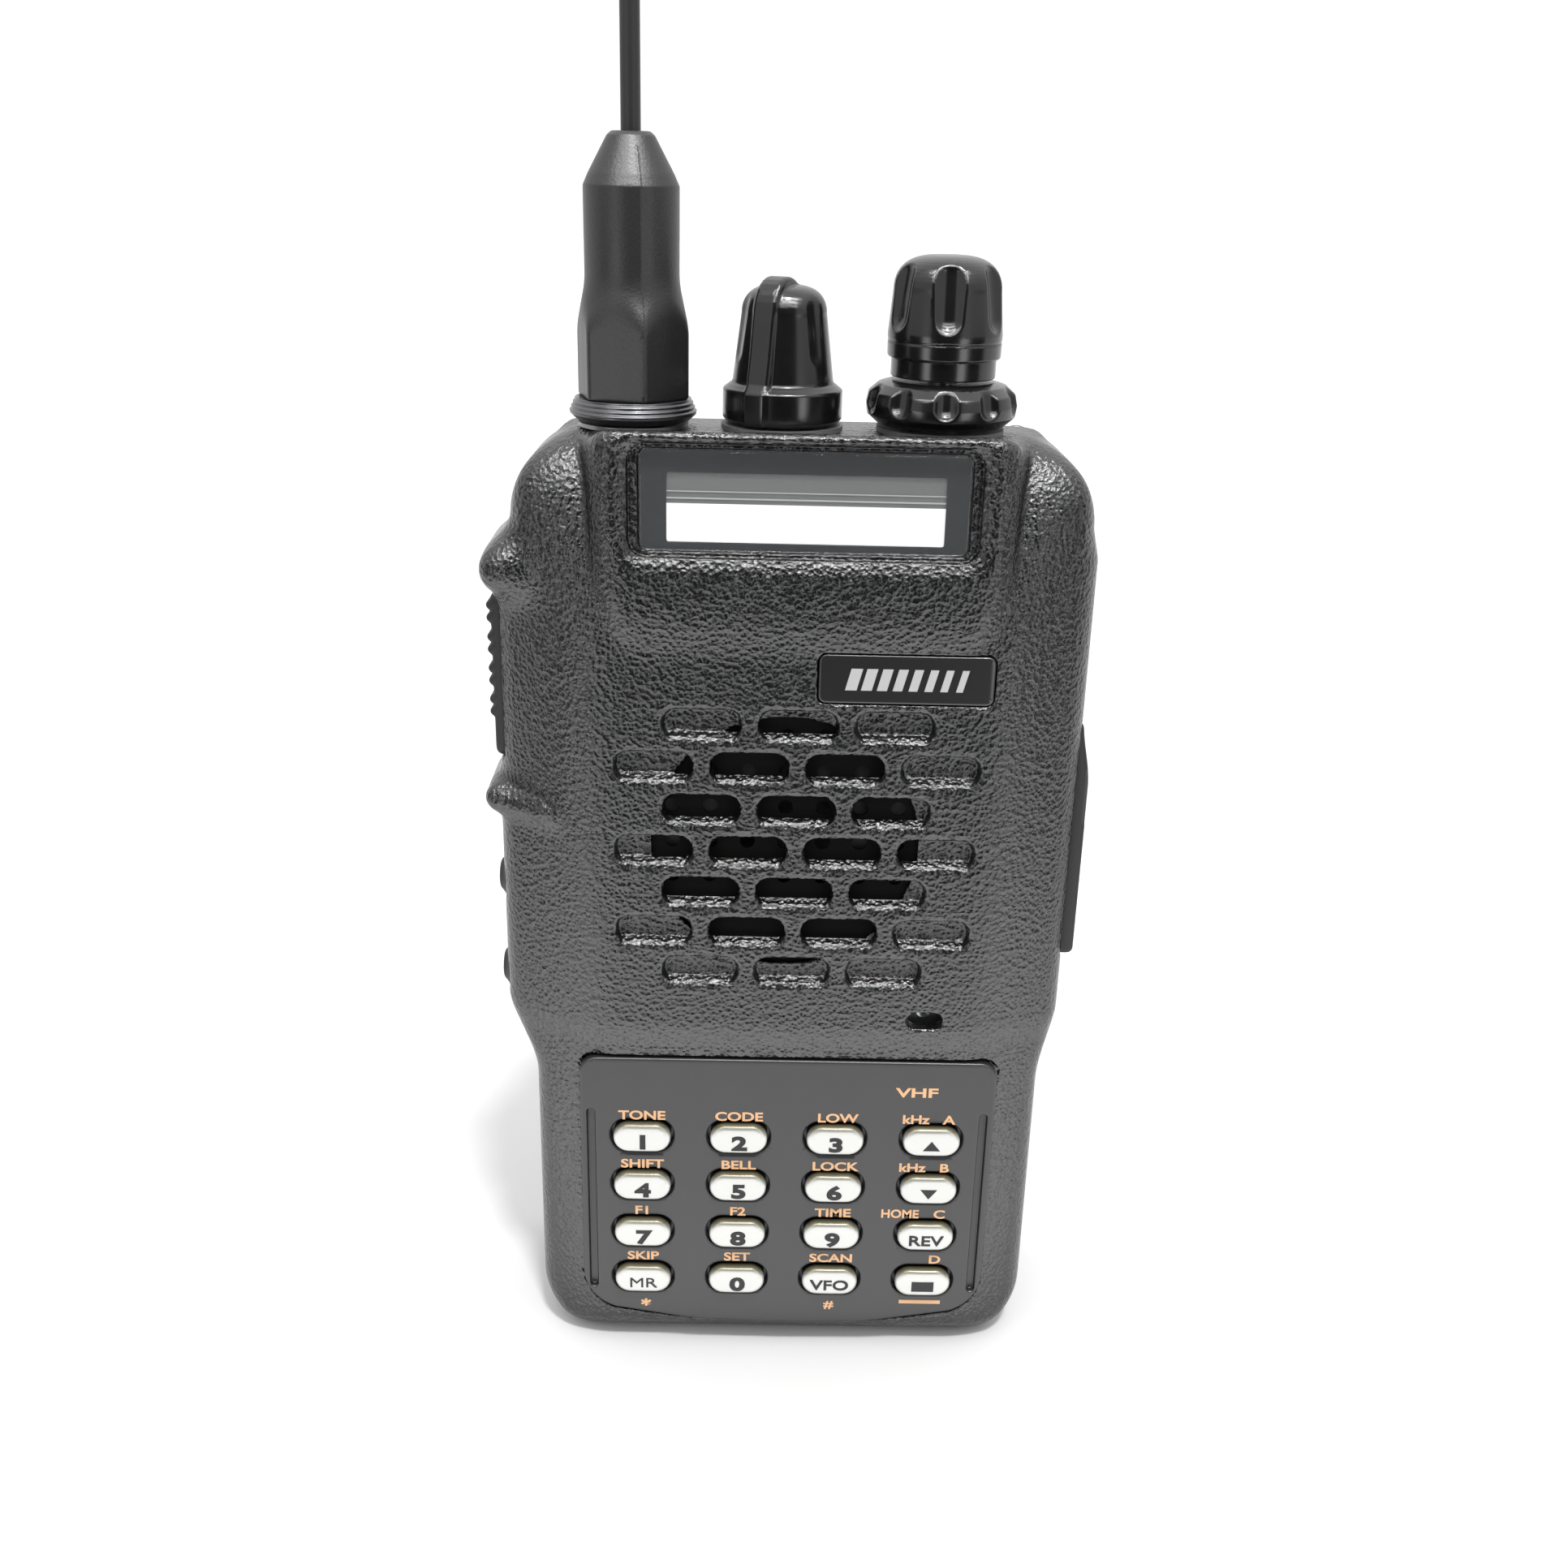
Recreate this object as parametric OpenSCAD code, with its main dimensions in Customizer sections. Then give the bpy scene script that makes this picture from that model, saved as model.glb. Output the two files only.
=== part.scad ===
// Handheld VHF two-way radio with a 16-key pad.
// Frame: +Z up, x = 0 and y = 0 at the middle of the body, z = 0 at the base.
// The front (display, grille, keypad) faces -Y and the battery is at +Y.

/* [Body] */
// Width of the lower, narrower part of the body
low_w = 58; // [56:0.5:60]
// Half width of the upper body on the jack side
up_half = 30.7; // [30:0.1:31.5]
// Extra half width of the upper body on the talk-button side
rail = 1.5; // [1:0.1:2]
// Height of the body at its front brow
body_h = 108.5; // [108:0.1:109]
// Depth of the body from the display brow to the battery's back
body_d = 26.5; // [26:0.1:27]
// Wall thickness of the front case
wall = 1.8; // [1.5:0.1:2]

/* [Keypad] */
// Sideways distance between keys
key_dx = 11; // [10.8:0.1:11.2]
// Vertical distance between keys
key_dz = 6.47; // [6.4:0.01:6.6]
// Width of a key top
key_w = 6.5; // [6.2:0.1:6.8]
// Height of a key top
key_h = 3.6; // [3.3:0.1:3.8]
// How far a key can be pressed
key_travel = 0.5; // [0.4:0.05:0.6]

/* [Speaker grille] */
// Sideways distance between slots
slot_dx = 10; // [9.8:0.1:10.2]
// Vertical distance between rows of slots
slot_dz = 4.72; // [4.6:0.02:4.8]
// Width of a slot
slot_w = 8.2; // [7.8:0.1:8.6]
// Height of a slot
slot_h = 3.3; // [3:0.1:3.5]

/* [Controls] */
// Diameter of the channel selector's skirt
selector_d = 12.2; // [11.6:0.1:12.6]
// Diameter of the volume knob
volume_d = 11.5; // [11:0.1:12]
// Diameter of the squelch ring
squelch_d = 15.4; // [15:0.1:15.8]
// Travel of the push-to-talk button
ptt_travel = 1; // [0.8:0.1:1.1]
// Travel of the two small side buttons
side_travel = 0.6; // [0.4:0.1:0.7]

/* [Antenna] */
// Height of the antenna's tip above the base
antenna_top = 268; // [240:1:300]
// Diameter of the whip
whip_d = 1.95; // [1.8:0.05:2.2]
// Diameter of the round part of the moulded boot
boot_d = 9.4; // [9:0.1:9.8]

/* [Hidden] */
$fn = 48;
eps = 0.01;

// Depth planes, from the front (-Y) to the back (+Y)
back_y = 12.9;
brow_y = back_y - body_d;
front_y = brow_y + 1.2;
pad_y = front_y + 0.5;
seal_t = 0.5;
part_y = 2.4;
floor_t = 1.2;
floor_y = part_y + floor_t;
pack_y = floor_y + 0.1;
lid_t = 1.2;

// Outline of the body seen from the front
low_half = low_w / 2;
base_r = 6.5;
waist_z = 34;
waist_h = 10;
shoulder_x = 21;
shoulder_z = 98.6;
shoulder_r = 8.9;
top_z = shoulder_z + shoulder_r;
guard_z = 92.8;
guard_out = 1.1;
thumb_z = 68.6;
thumb_out = 1.1;

// Plan of the body seen from above
flat_x = 21;
bevel_x = 24.4;
bevel_y = front_y + 0.9;
cheek_x = 28.6;
cheek_y = front_y + 3.4;
side_y = front_y + 6.6;

// Display
lcd_z = 101.7;
lcd_open_w = 34;
lcd_open_h = 11.3;
lens_w = 32.6;
lens_h = 10;
lens_y = brow_y + 0.8;
lens_t = 1;
ledge_t = 0.5;
view_w = 29;
view_h = 8;
module_w = 33;
module_h = 10.4;
module_t = 1.9;
brow_half = 21;
brow_z = 87.4;
brow_rim_z = 94.6;

// Keypad
keys_z = 19.24;
panel_w = 47;
panel_z0 = 3;
panel_z1 = 39;
panel_t = 1.2;
panel_y = pad_y - 0.1;
key_proud = 0.85;
key_top_y = panel_y - key_proud;
key_gap = 0.35;
flange_t = 0.6;
flange_y = panel_y + panel_t + 0.05;
key_end_y = flange_y + flange_t + 0.6;
board_y = key_end_y + key_travel + 0.45;

// Speaker and grille
grille_z = 64.46;
grille_rows = 7;
speaker_x = -1.1;
speaker_z = 65;
aperture_r = 14.2;
speaker_r = 17;
blind_d = 1.1;

// Controls on the top
axis_y = -2.4;
antenna_x = -17.5;
selector_x = -2.35;
volume_x = 13.8;
contact_r = 0.7;
pot_w = 9.4;
pot_z = 97;
pot_top = 104.8;
run = 0.05;

// Talk button and side buttons, on the -X side
left_x = up_half + rail;
side_c = -2.2;
ptt_z0 = 72;
ptt_z1 = 90.2;
ptt_w = 5.8;
ptt_out = left_x + 0.8;
small_z = [57, 45.6];
small_r = 2.9;
flange_x = 30;
switch_x = 28;

// Jack block and its cover, on the +X side
jack_z0 = 50;
jack_z1 = 77.6;
jack_y0 = -6.4;
jack_y1 = 1;
cover_in = 29.75;
cover_out = 31.9;
jack_face = 29.5;
jack_c = -2.4;
mic_jack_z = 69.5;
ear_jack_z = 58.5;
mic_jack_r = 1.8;
ear_jack_r = 1.3;
jack_depth = 7;

// Battery pack
pack_half = 28.4;
pack_top = 74.6;
latch_travel = 2.5;
latch_h = 8;
contact_xs = [-18, 18, 22];
contact_z = 9;

// Belt clip
clip_pin_z = 96;
clip_pin_y = back_y + 4.3;
clip_pin_r = 1;
clip_in_y = back_y + 5.6;
clip_t = 1.8;

function ease(t) = (1 - cos(180 * t)) / 2;
function arc(cx, cy, r, a0, a1, n = 8) =
  [for (i = [0 : n]) let (a = a0 + (a1 - a0) * i / n) [cx + r * cos(a), cy + r * sin(a)]];
function round_rect(w, h, r, n = 6) = concat(
  arc(w / 2 - r, h / 2 - r, r, 0, 90, n), arc(-w / 2 + r, h / 2 - r, r, 90, 180, n),
  arc(-w / 2 + r, -h / 2 + r, r, 180, 270, n), arc(w / 2 - r, -h / 2 + r, r, 270, 360, n));
// A smooth bump on one side, from z0 up to z1, as [half width, z] points
function bump(base, out, z0, z1, n = 8) =
  [for (i = [0 : n]) [base + out * sin(180 * i / n), z0 + (z1 - z0) * i / n]];

// One side of the outline from the base to the shoulder, as [half width, z]
function side_line(half, e) = concat(
  [for (p = arc(low_half - base_r, base_r, base_r - e, -90, 0)) p],
  [for (i = [0 : 6]) [low_half + (half - low_half) * ease(i / 6) - e, waist_z + waist_h * i / 6]]);
function shoulder(e) = concat(
  [[up_half - e, shoulder_z - 3.2]], arc(shoulder_x, shoulder_z, shoulder_r - e, 0, 90));
function flip(points) = [for (i = [len(points) - 1 : -1 : 0]) [-points[i][0], points[i][1]]];
function outline(e) = concat(
  side_line(up_half, e), shoulder(e),
  flip(concat(
    side_line(left_x, e),
    e > 0 ? [[left_x - e, guard_z - 3]] : concat(
      bump(left_x, thumb_out, thumb_z - 2, thumb_z + 2),
      bump(left_x, guard_out, guard_z - 3, guard_z + 2, 6)),
    shoulder(e))));
function plan_side(extra, e) = [
  [flat_x - e / 4, front_y + e], [bevel_x - e / 2, bevel_y + e], [cheek_x - e, cheek_y + e / 2],
  [up_half + extra - e, side_y]];

// A shape drawn in X and Z, from y0 back to y1
module slab(y0, y1) {
  translate([0, y1, 0]) rotate([90, 0, 0]) linear_extrude(y1 - y0) children();
}
// A shape drawn in Y and Z, from x0 across to x1
module across(x0, x1) {
  translate([x0, 0, 0]) rotate([90, 0, 90]) linear_extrude(x1 - x0) children();
}
module y_rod(x, z, r, y0, y1) {
  translate([x, y1, z]) rotate([90, 0, 0]) cylinder(h = y1 - y0, r = r);
}
module x_rod(y, z, r, x0, x1) {
  translate([x0, y, z]) rotate([0, 90, 0]) cylinder(h = x1 - x0, r = r);
}
module rounded(w, h, r) polygon(round_rect(w, h, r));
module at_key(col, row) {
  translate([(col - 1.5) * key_dx, 0, keys_z + (1.5 - row) * key_dz]) children();
}
module lathe(profile) rotate_extrude($fn = 64) polygon(profile);

// ---- Front case ----

// The body's solid form, shrunk by e
module body_form(e, y_end) {
  intersection() {
    slab(brow_y, y_end) polygon(outline(e));
    translate([0, 0, -1]) linear_extrude(body_h + 2)
      polygon(concat(plan_side(3, e), [[up_half + 3 - e, y_end], [-up_half - 4 + e, y_end]],
        flip(plan_side(4, e))));
    across(-40, 40) polygon([
      [pad_y + 2.6, e], [pad_y + e, 2.6 + e / 2], [pad_y + e, 40], [front_y + e, 44],
      [front_y + e, 94], [front_y + 3.2 + e, 104.5], [front_y + 6.4, top_z - e],
      [y_end, top_z - e], [y_end, e]]);
  }
}
// The brow that carries the display, with its sloping underside
module brow() {
  across(-brow_half, brow_half) polygon([
    [front_y + 1, brow_z - 1], [front_y, brow_z], [front_y - 0.25, brow_z + 1.5],
    [brow_y + 0.15, brow_rim_z - 1.5], [brow_y, brow_rim_z], [brow_y, body_h - 0.9],
    [brow_y + 0.9, body_h], [brow_y + 2.6, body_h], [brow_y + 4.6, top_z], [front_y + 4, top_z - 1]]);
}
module grille_slot(row, i) {
  cols = row % 2 == 0 ? 3 : 4;
  translate([(i - (cols - 1) / 2) * slot_dx, 0, grille_z + (3 - row) * slot_dz]) children();
}
module each_slot() {
  for (row = [0 : grille_rows - 1])
    for (i = [0 : (row % 2 == 0 ? 2 : 3)])
      grille_slot(row, i) children();
}
module front_case() color("#26272a") difference() {
  union() {
    difference() {
      union() {
        body_form(0, part_y - seal_t);
        brow();
      }
      body_form(wall, part_y + 1);
    }
    // Land behind the display brow, which holds the lens and the module
    translate([-17.5, front_y + wall - 0.4, 94.6]) cube([35, 1.2, 12.4]);
  }
  // Display opening, its ledge and the pocket for the module
  translate([0, 0, lcd_z]) {
    slab(brow_y - 1, lens_y) rounded(lcd_open_w, lcd_open_h, 1.6);
    slab(lens_y - eps, lens_y + lens_t) rounded(lens_w + 0.2, lens_h + 0.2, 1);
    slab(lens_y, lens_y + lens_t + ledge_t + eps) rounded(view_w, view_h, 0.6);
    slab(lens_y + lens_t + ledge_t, 0) rounded(module_w + 0.4, module_h + 0.4, 0.4);
  }
  // Grille: blind slots, which open where the speaker's counterbore meets them
  each_slot() slab(front_y - 1, front_y + blind_d + 0.1) rounded(slot_w, slot_h, 1.5);
  y_rod(speaker_x, speaker_z, aperture_r, front_y + blind_d, front_y + wall + 1);
  // Recess for the name plate, microphone port
  translate([10.9, 0, 83.9]) slab(front_y - 1, front_y + 0.5) rounded(18.2, 5.4, 0.9);
  translate([14.9, 0, 44.5]) slab(front_y - 1, front_y + wall + 1) rounded(3.8, 2, 0.9);
  // Seat for the keypad panel, with the window for the keys behind it
  slab(pad_y - 1, pad_y + panel_t - 0.1) panel_shape(0.15);
  translate([0, 0, keys_z]) slab(pad_y, pad_y + 4) rounded(42.5, 27, 1.5);
  // Holes for the controls on the top
  translate([antenna_x, axis_y, top_z - 4]) cylinder(h = 6, r = 4);
  translate([selector_x, axis_y, top_z - 4]) cylinder(h = 6, r = 3.6);
  translate([volume_x, axis_y, top_z - 4]) cylinder(h = 6, r = 4.1);
  // Windows for the talk button and the two small buttons
  translate([-left_x - 3, side_c - ptt_w / 2 - 0.3, ptt_z0 - 0.3])
    cube([6, ptt_w + 0.6, ptt_z1 - ptt_z0 + 0.6]);
  for (z = small_z) x_rod(side_c, z, small_r + 0.3, -left_x - 3, -left_x + 3);
  // Pocket for the jack cover and the window for the jacks
  translate([cover_in - 0.15, jack_y0 - 0.2, jack_z0 - 0.2])
    cube([4, jack_y1 - jack_y0 + 0.4, jack_z1 - jack_z0 + 0.4]);
  translate([up_half - 4, jack_y0 + 1, jack_z0 + 2]) cube([6, 6, jack_z1 - jack_z0 - 4]);
}

// ---- Keypad ----

// Outline of the keypad panel, with a gently bowed lower edge
module panel_shape(grow) {
  half = panel_w / 2 + grow;
  low = panel_z0 - grow;
  polygon(concat(
    arc(half - 2, panel_z1 + grow - 2, 2, 0, 90, 4),
    arc(-half + 2, panel_z1 + grow - 2, 2, 90, 180, 4),
    arc(-half + 5.5, low + 7.2, 5.5, 180, 250, 6),
    [[-10, low + 0.35], [0, low], [10, low + 0.35]],
    arc(half - 5.5, low + 7.2, 5.5, 290, 360, 6)));
}
module keypad_panel() color("#3a3b3d") difference() {
  slab(panel_y, panel_y + panel_t) panel_shape(0);
  for (row = [0 : 3])
    for (col = [0 : 3])
      at_key(col, row) slab(panel_y - 1, panel_y + panel_t + 1)
        rounded(key_w + 2 * key_gap, key_h + 2 * key_gap, 2);
  // Decorative groove down each side
  for (s = [-1, 1])
    translate([s * 22.3, 0, 20.2]) slab(panel_y - 1, panel_y + 0.4) rounded(0.9, 24.4, 0.4);
}
// One rubber key: a rounded top, a flange behind the panel and a stem
module key(col, row) color("#d9dad7") at_key(col, row) {
  slab(key_top_y + 0.25, flange_y) rounded(key_w, key_h, 1.7);
  slab(key_top_y, key_top_y + 0.25) rounded(key_w - 0.6, key_h - 0.6, 1.4);
  slab(flange_y, flange_y + flange_t) rounded(key_w + 1.6, key_h + 1.4, 1.2);
  y_rod(0, 0, 1.4, flange_y + flange_t, key_end_y);
}
module key_1() key(0, 0);
module key_2() key(1, 0);
module key_3() key(2, 0);
module key_up() key(3, 0);
module key_4() key(0, 1);
module key_5() key(1, 1);
module key_6() key(2, 1);
module key_down() key(3, 1);
module key_7() key(0, 2);
module key_8() key(1, 2);
module key_9() key(2, 2);
module key_reverse() key(3, 2);
module key_recall() key(0, 3);
module key_0() key(1, 3);
module key_tuning() key(2, 3);
module key_function() key(3, 3);
// Circuit board with one snap dome under each key
module keypad_board() color("#3c6b45") {
  translate([0, 0, keys_z]) slab(board_y, board_y + 0.8) rounded(46, 31, 1.5);
  for (row = [0 : 3])
    for (col = [0 : 3])
      at_key(col, row) y_rod(0, 0, 1.9, board_y - 0.35, board_y);
}

// ---- Display ----

module lcd_lens() color("#9fa4a6", 0.5) translate([0, 0, lcd_z])
  slab(lens_y, lens_y + lens_t) rounded(lens_w, lens_h, 0.9);
module lcd_module() color("#c9cdc8") translate([0, 0, lcd_z])
  slab(lens_y + lens_t + ledge_t + 0.05, lens_y + lens_t + ledge_t + 0.05 + module_t)
    rounded(module_w, module_h, 0.3);
module lcd_holder() color("#e8e6df") translate([0, 0, lcd_z]) difference() {
  y = lens_y + lens_t + ledge_t + 0.05 + module_t;
  slab(y, y + 1.4) rounded(module_w, module_h, 0.5);
  slab(y + 0.6, y + 2) rounded(module_w - 4, module_h - 4, 0.5);
}

// ---- Audio ----

module speaker_frame() color("#55575a") {
  difference() {
    y_rod(speaker_x, speaker_z, speaker_r, -10.2, -8.4);
    y_rod(speaker_x, speaker_z, 15.2, -11, -9.2);
    y_rod(speaker_x, speaker_z, 7.4, -11, -8);
  }
  // Magnet cup behind the frame
  difference() {
    y_rod(speaker_x, speaker_z, 10, -8.4, -4.2);
    y_rod(speaker_x, speaker_z, 7.4, -9, -5.6);
  }
  y_rod(speaker_x, speaker_z, 5.6, -5.6, -4.2);
}
module speaker_cone() color("#1b1b1c") translate([speaker_x, -9.2, speaker_z]) rotate([90, 0, 0])
  lathe([[0, -1.4], [4, -2.6], [6.8, -2.6], [7.2, 0.05], [15, 0.05], [15, 0.4], [6.9, 0.4],
    [6.5, -2.2], [4.2, -2.2], [0, -1]]);
module speaker_mesh() color("#111112") difference() {
  y_rod(speaker_x, speaker_z, speaker_r, -10.5, -10.2);
  for (i = [-3 : 3])
    for (k = [-3 : 3])
      if (i * i + k * k < 11)
        y_rod(speaker_x + i * 4, speaker_z + k * 4, 0.8, -11, -10);
}
module microphone() color("#b9b9b4") difference() {
  y_rod(14.9, 44.5, 3, -9.9, -7.3);
  y_rod(14.9, 44.5, 0.8, -11, -9.4);
}
module name_plate() color("#2e2f31") translate([10.9, 0, 83.9])
  slab(front_y - 0.1, front_y + 0.5) rounded(18, 5.2, 0.8);

// ---- Boards and chassis ----

module main_board() color("#2f5d3a") {
  translate([0, 0, 48]) slab(-2, -1) rounded(42, 88, 2);
  // Processor and audio amplifier
  translate([-8, -3.2, 20]) cube([12, 1.2, 12]);
  translate([10, -3.4, 36]) cube([8, 1.4, 6]);
}
module shield_can() color("#c3c5c7") difference() {
  translate([-20, -1, 46]) cube([40, 3.1, 42]);
  translate([-19.5, -1.5, 46.5]) cube([39, 3.1, 41]);
}
// Die-cast back: a floor plate behind the boards and a finned upper block
module rear_chassis() color("#1f2022") difference() {
  union() {
    intersection() {
      slab(part_y, floor_y) polygon(outline(0.4));
      translate([-40, part_y - 1, 0]) cube([80, 4, 120]);
    }
    intersection() {
      slab(floor_y, back_y) polygon(outline(0.8));
      translate([0, 0, 75]) linear_extrude(top_z - 76)
        polygon([[29.9, floor_y], [29.9, back_y - 4], [26, back_y], [-26, back_y],
          [-30.5, back_y - 4], [-30.5, floor_y]]);
    }
  }
  // Cooling grooves either side of the clip bracket
  for (i = [0 : 6])
    for (s = [-1, 1])
      translate([s * 22 - 6, back_y - 1.6, 79 + i * 3.6]) cube([12, 3, 1.4]);
  // Slot that the battery latch hooks into
  translate([-5.3, part_y - 1, 1.6]) cube([10.6, 4, 6]);
  for (s = [-1, 1]) {
    y_rod(s * 9, 101, 1.25, back_y - 6, back_y + 1);
    y_rod(s * 24, 104, 1.25, back_y - 5, back_y + 1);
  }
}
module case_seal() color("#5a5a58") difference() {
  slab(part_y - seal_t, part_y) polygon(outline(0.5));
  slab(part_y - seal_t - 1, part_y + 1) polygon(outline(1.5));
}

// ---- Controls on the top ----

module selector_encoder() color("#8f9194") translate([selector_x, axis_y, 0]) difference() {
  union() {
    translate([-pot_w / 2, -pot_w / 2, pot_z]) cube([pot_w, pot_w, pot_top - pot_z]);
    translate([0, 0, pot_top]) cylinder(h = 108.6 - pot_top, r = 3.4);
  }
  translate([0, 0, pot_z + 0.8]) cylinder(h = 20, r = 1.55 + run);
}
module selector_shaft() color("#c7c9cb") translate([selector_x, axis_y, pot_z + 1])
  cylinder(h = 119 - pot_z - 1, r = 1.55);
module selector_knob() color("#1c1d1f") translate([selector_x, axis_y, 0]) {
  r = selector_d / 2;
  difference() {
    lathe([[1.55, 109.3], [3.9, 109.3], [3.9, 108.2], [r - 0.3, 108.2], [r, 108.6], [r, 111.4],
      [r - 0.5, 111.9], [5, 112.2], [4.25, 119.6], [3.7, 120.8], [2.6, 121.4], [0, 121.6],
      [0, 119], [1.55, 119]]);
    // Finger scallops on both sides
    for (s = [-1, 1])
      rotate(s * 90 - 20) translate([0, -6.6, 115.2]) cylinder(h = 8, r = 2.4);
  }
  // Pointer rib from the skirt up over the top
  rotate(-28) difference() {
    translate([-0.75, -r - 0.1, 108.6]) cube([1.5, r + 1.4, 13.9]);
    translate([-2, -r - 1, 120.9]) rotate([35, 0, 0]) cube([4, 5, 5]);
    translate([-2, -r - 3.35, 112.2]) rotate([-6.5, 0, 0]) cube([4, 3, 12]);
    translate([0, 0, 108]) cylinder(h = 11, r = 3.9);
  }
}
module volume_control() color("#8f9194") translate([volume_x, axis_y, 0]) difference() {
  union() {
    translate([-pot_w / 2, -pot_w / 2, pot_z]) cube([pot_w, pot_w, pot_top - pot_z]);
    translate([0, 0, pot_top]) cylinder(h = 108.6 - pot_top, r = 3.9);
  }
  translate([0, 0, pot_z + 0.8]) cylinder(h = 20, r = 3 + run);
}
module volume_shaft() color("#c7c9cb") translate([volume_x, axis_y, pot_z + 1])
  cylinder(h = 119 - pot_z - 1, r = 1.5);
module squelch_sleeve() color("#a9abad") translate([volume_x, axis_y, pot_z + 1]) difference() {
  cylinder(h = 112.4 - pot_z - 1, r = 3);
  translate([0, 0, -1]) cylinder(h = 20, r = 1.5 + run);
}
module squelch_ring() color("#1c1d1f") translate([volume_x, axis_y, 0]) {
  r = squelch_d / 2;
  difference() {
    lathe([[3, 109.2], [4.4, 109.2], [4.4, 108.3], [r - 1.2, 108.3], [r, 109.4], [r, 111],
      [r - 1.3, 112.3], [5.6, 112.7], [3, 112.7]]);
    // Finger notches round the rim
    for (i = [0 : 9])
      rotate(i * 36 - 2) translate([0, -r - 0.6, 109.5]) cylinder(h = 4, r = 1.25);
  }
}
module volume_knob() color("#1c1d1f") translate([volume_x, axis_y, 0]) {
  r = volume_d / 2;
  difference() {
    lathe([[1.5, 113], [r - 0.35, 113], [r - 0.35, 114.9], [r, 115.1], [r, 117], [r - 0.6, 121.5],
      [r - 1.1, 123.1], [r - 2.4, 124.2], [2, 124.7], [0, 124.8], [0, 119], [1.5, 119]]);
    for (i = [0 : 5])
      rotate(i * 60) translate([0, -r - 1, 117.2]) cylinder(h = 8, r = 1.9);
  }
}
module shaft_seals() color("#3b3b3a") {
  translate([selector_x, axis_y, top_z]) difference() {
    cylinder(h = 0.5, r = 6.2);
    translate([0, 0, -1]) cylinder(h = 3, r = 3.6);
  }
  translate([volume_x, axis_y, top_z]) difference() {
    cylinder(h = 0.5, r = 6.5);
    translate([0, 0, -1]) cylinder(h = 3, r = 4.1);
  }
}

// ---- Antenna ----

module antenna_socket() color("#a7a39a") translate([antenna_x, axis_y, 0]) difference() {
  union() {
    translate([-4.5, -4.5, 99]) cube([9, 9, 4.5]);
    translate([0, 0, 103.5]) cylinder(h = top_z - 103.5, r = 3.9);
    translate([0, 0, top_z]) cylinder(h = 0.4, r = 5.6);
    translate([0, 0, top_z + 0.4]) cylinder(h = 5.1, r = 3.1);
  }
  translate([0, 0, 104]) cylinder(h = 12, r = 0.75);
}
module antenna_collar() color("#5f6266") translate([antenna_x, axis_y, 0])
  lathe([[3.15, 108.1], [5, 108.1], [6.1, 108.6], [6.4, 109.1], [6.2, 109.3], [6.35, 109.5],
    [6.1, 109.7], [6.2, 109.9], [5.9, 110.3], [3.15, 110.3]]);
// Moulded boot: a hexagonal grip, a round barrel and a tapered end
module antenna_boot() color("#222325") translate([antenna_x, axis_y, 0]) difference() {
  union() {
    translate([0, 0, 110.3]) rotate(46) cylinder(h = 9, r = 5.75, $fn = 6);
    lathe([[0, 112], [4.9, 112], [4.9, 119.3], [boot_d / 2, 120.8], [boot_d / 2, 130.8],
      [boot_d / 2 - 0.5, 131.6], [2.7, 135.1], [2.2, 135.4], [0, 135.4]]);
  }
  translate([0, 0, 110]) cylinder(h = 3.2, r = 3.15);
  translate([0, 0, 110]) cylinder(h = 10, r = contact_r + 0.02);
  translate([0, 0, 118]) cylinder(h = 20, r = whip_d / 2);
}
module antenna_whip() color("#1a1a1b") translate([antenna_x, axis_y, 0]) {
  translate([0, 0, 118]) cylinder(h = antenna_top - 6 - 118, r = whip_d / 2, $fn = 24);
  lathe([[0, antenna_top - 6], [1.45, antenna_top - 6], [1.5, antenna_top - 1.5],
    [1.1, antenna_top - 0.4], [0, antenna_top]]);
  // Centre contact inside the connector
  translate([0, 0, 106]) cylinder(h = 12, r = contact_r, $fn = 24);
}

// ---- Buttons on the left side ----

module ptt_button() color("#202123") {
  mid = (ptt_z0 + ptt_z1) / 2;
  translate([-ptt_out + 0.4, side_c - ptt_w / 2, ptt_z0])
    cube([ptt_out - 0.4 - flange_x, ptt_w, ptt_z1 - ptt_z0]);
  // Pairs of grip ribs across the face
  for (i = [0 : 3])
    for (s = [-1, 1])
      grip_rib(ptt_z0 + 5.75 + i * 3.45 + s * 0.68);
  translate([-flange_x, side_c - ptt_w / 2 - 0.8, ptt_z0 - 0.8])
    cube([0.5, ptt_w + 1.6, ptt_z1 - ptt_z0 + 1.6]);
  x_rod(side_c, mid, 1.5, -flange_x + 0.5, -switch_x - ptt_travel - 0.1);
}
module grip_rib(z) {
  translate([-ptt_out + 0.4, side_c - ptt_w / 2 + 0.4, z])
    rotate([-90, 0, 0]) cylinder(h = ptt_w - 0.8, r = 0.45, $fn = 20);
}
module small_button(z) color("#2a2b2d") {
  x_rod(side_c, z, small_r, -left_x - 0.4, -flange_x);
  x_rod(side_c, z, small_r - 0.7, -left_x - 0.8, -left_x - 0.4);
  x_rod(side_c, z, small_r + 0.6, -flange_x, -flange_x + 0.5);
  x_rod(side_c, z, 1.2, -flange_x + 0.5, -switch_x - side_travel - 0.1);
}
module monitor_button() small_button(small_z[0]);
module lamp_button() small_button(small_z[1]);
module side_switches() color("#2f5d3a") {
  translate([-26.6, side_c - 3.2, 42]) cube([0.8, 6.4, 46]);
  for (z = concat([(ptt_z0 + ptt_z1) / 2], small_z)) {
    translate([-switch_x + 0.4, side_c - 2.2, z - 2.2]) cube([1, 4.4, 4.4]);
    x_rod(side_c, z, 1.1, -switch_x, -switch_x + 0.4);
  }
}

// ---- Jacks on the right side ----

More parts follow.
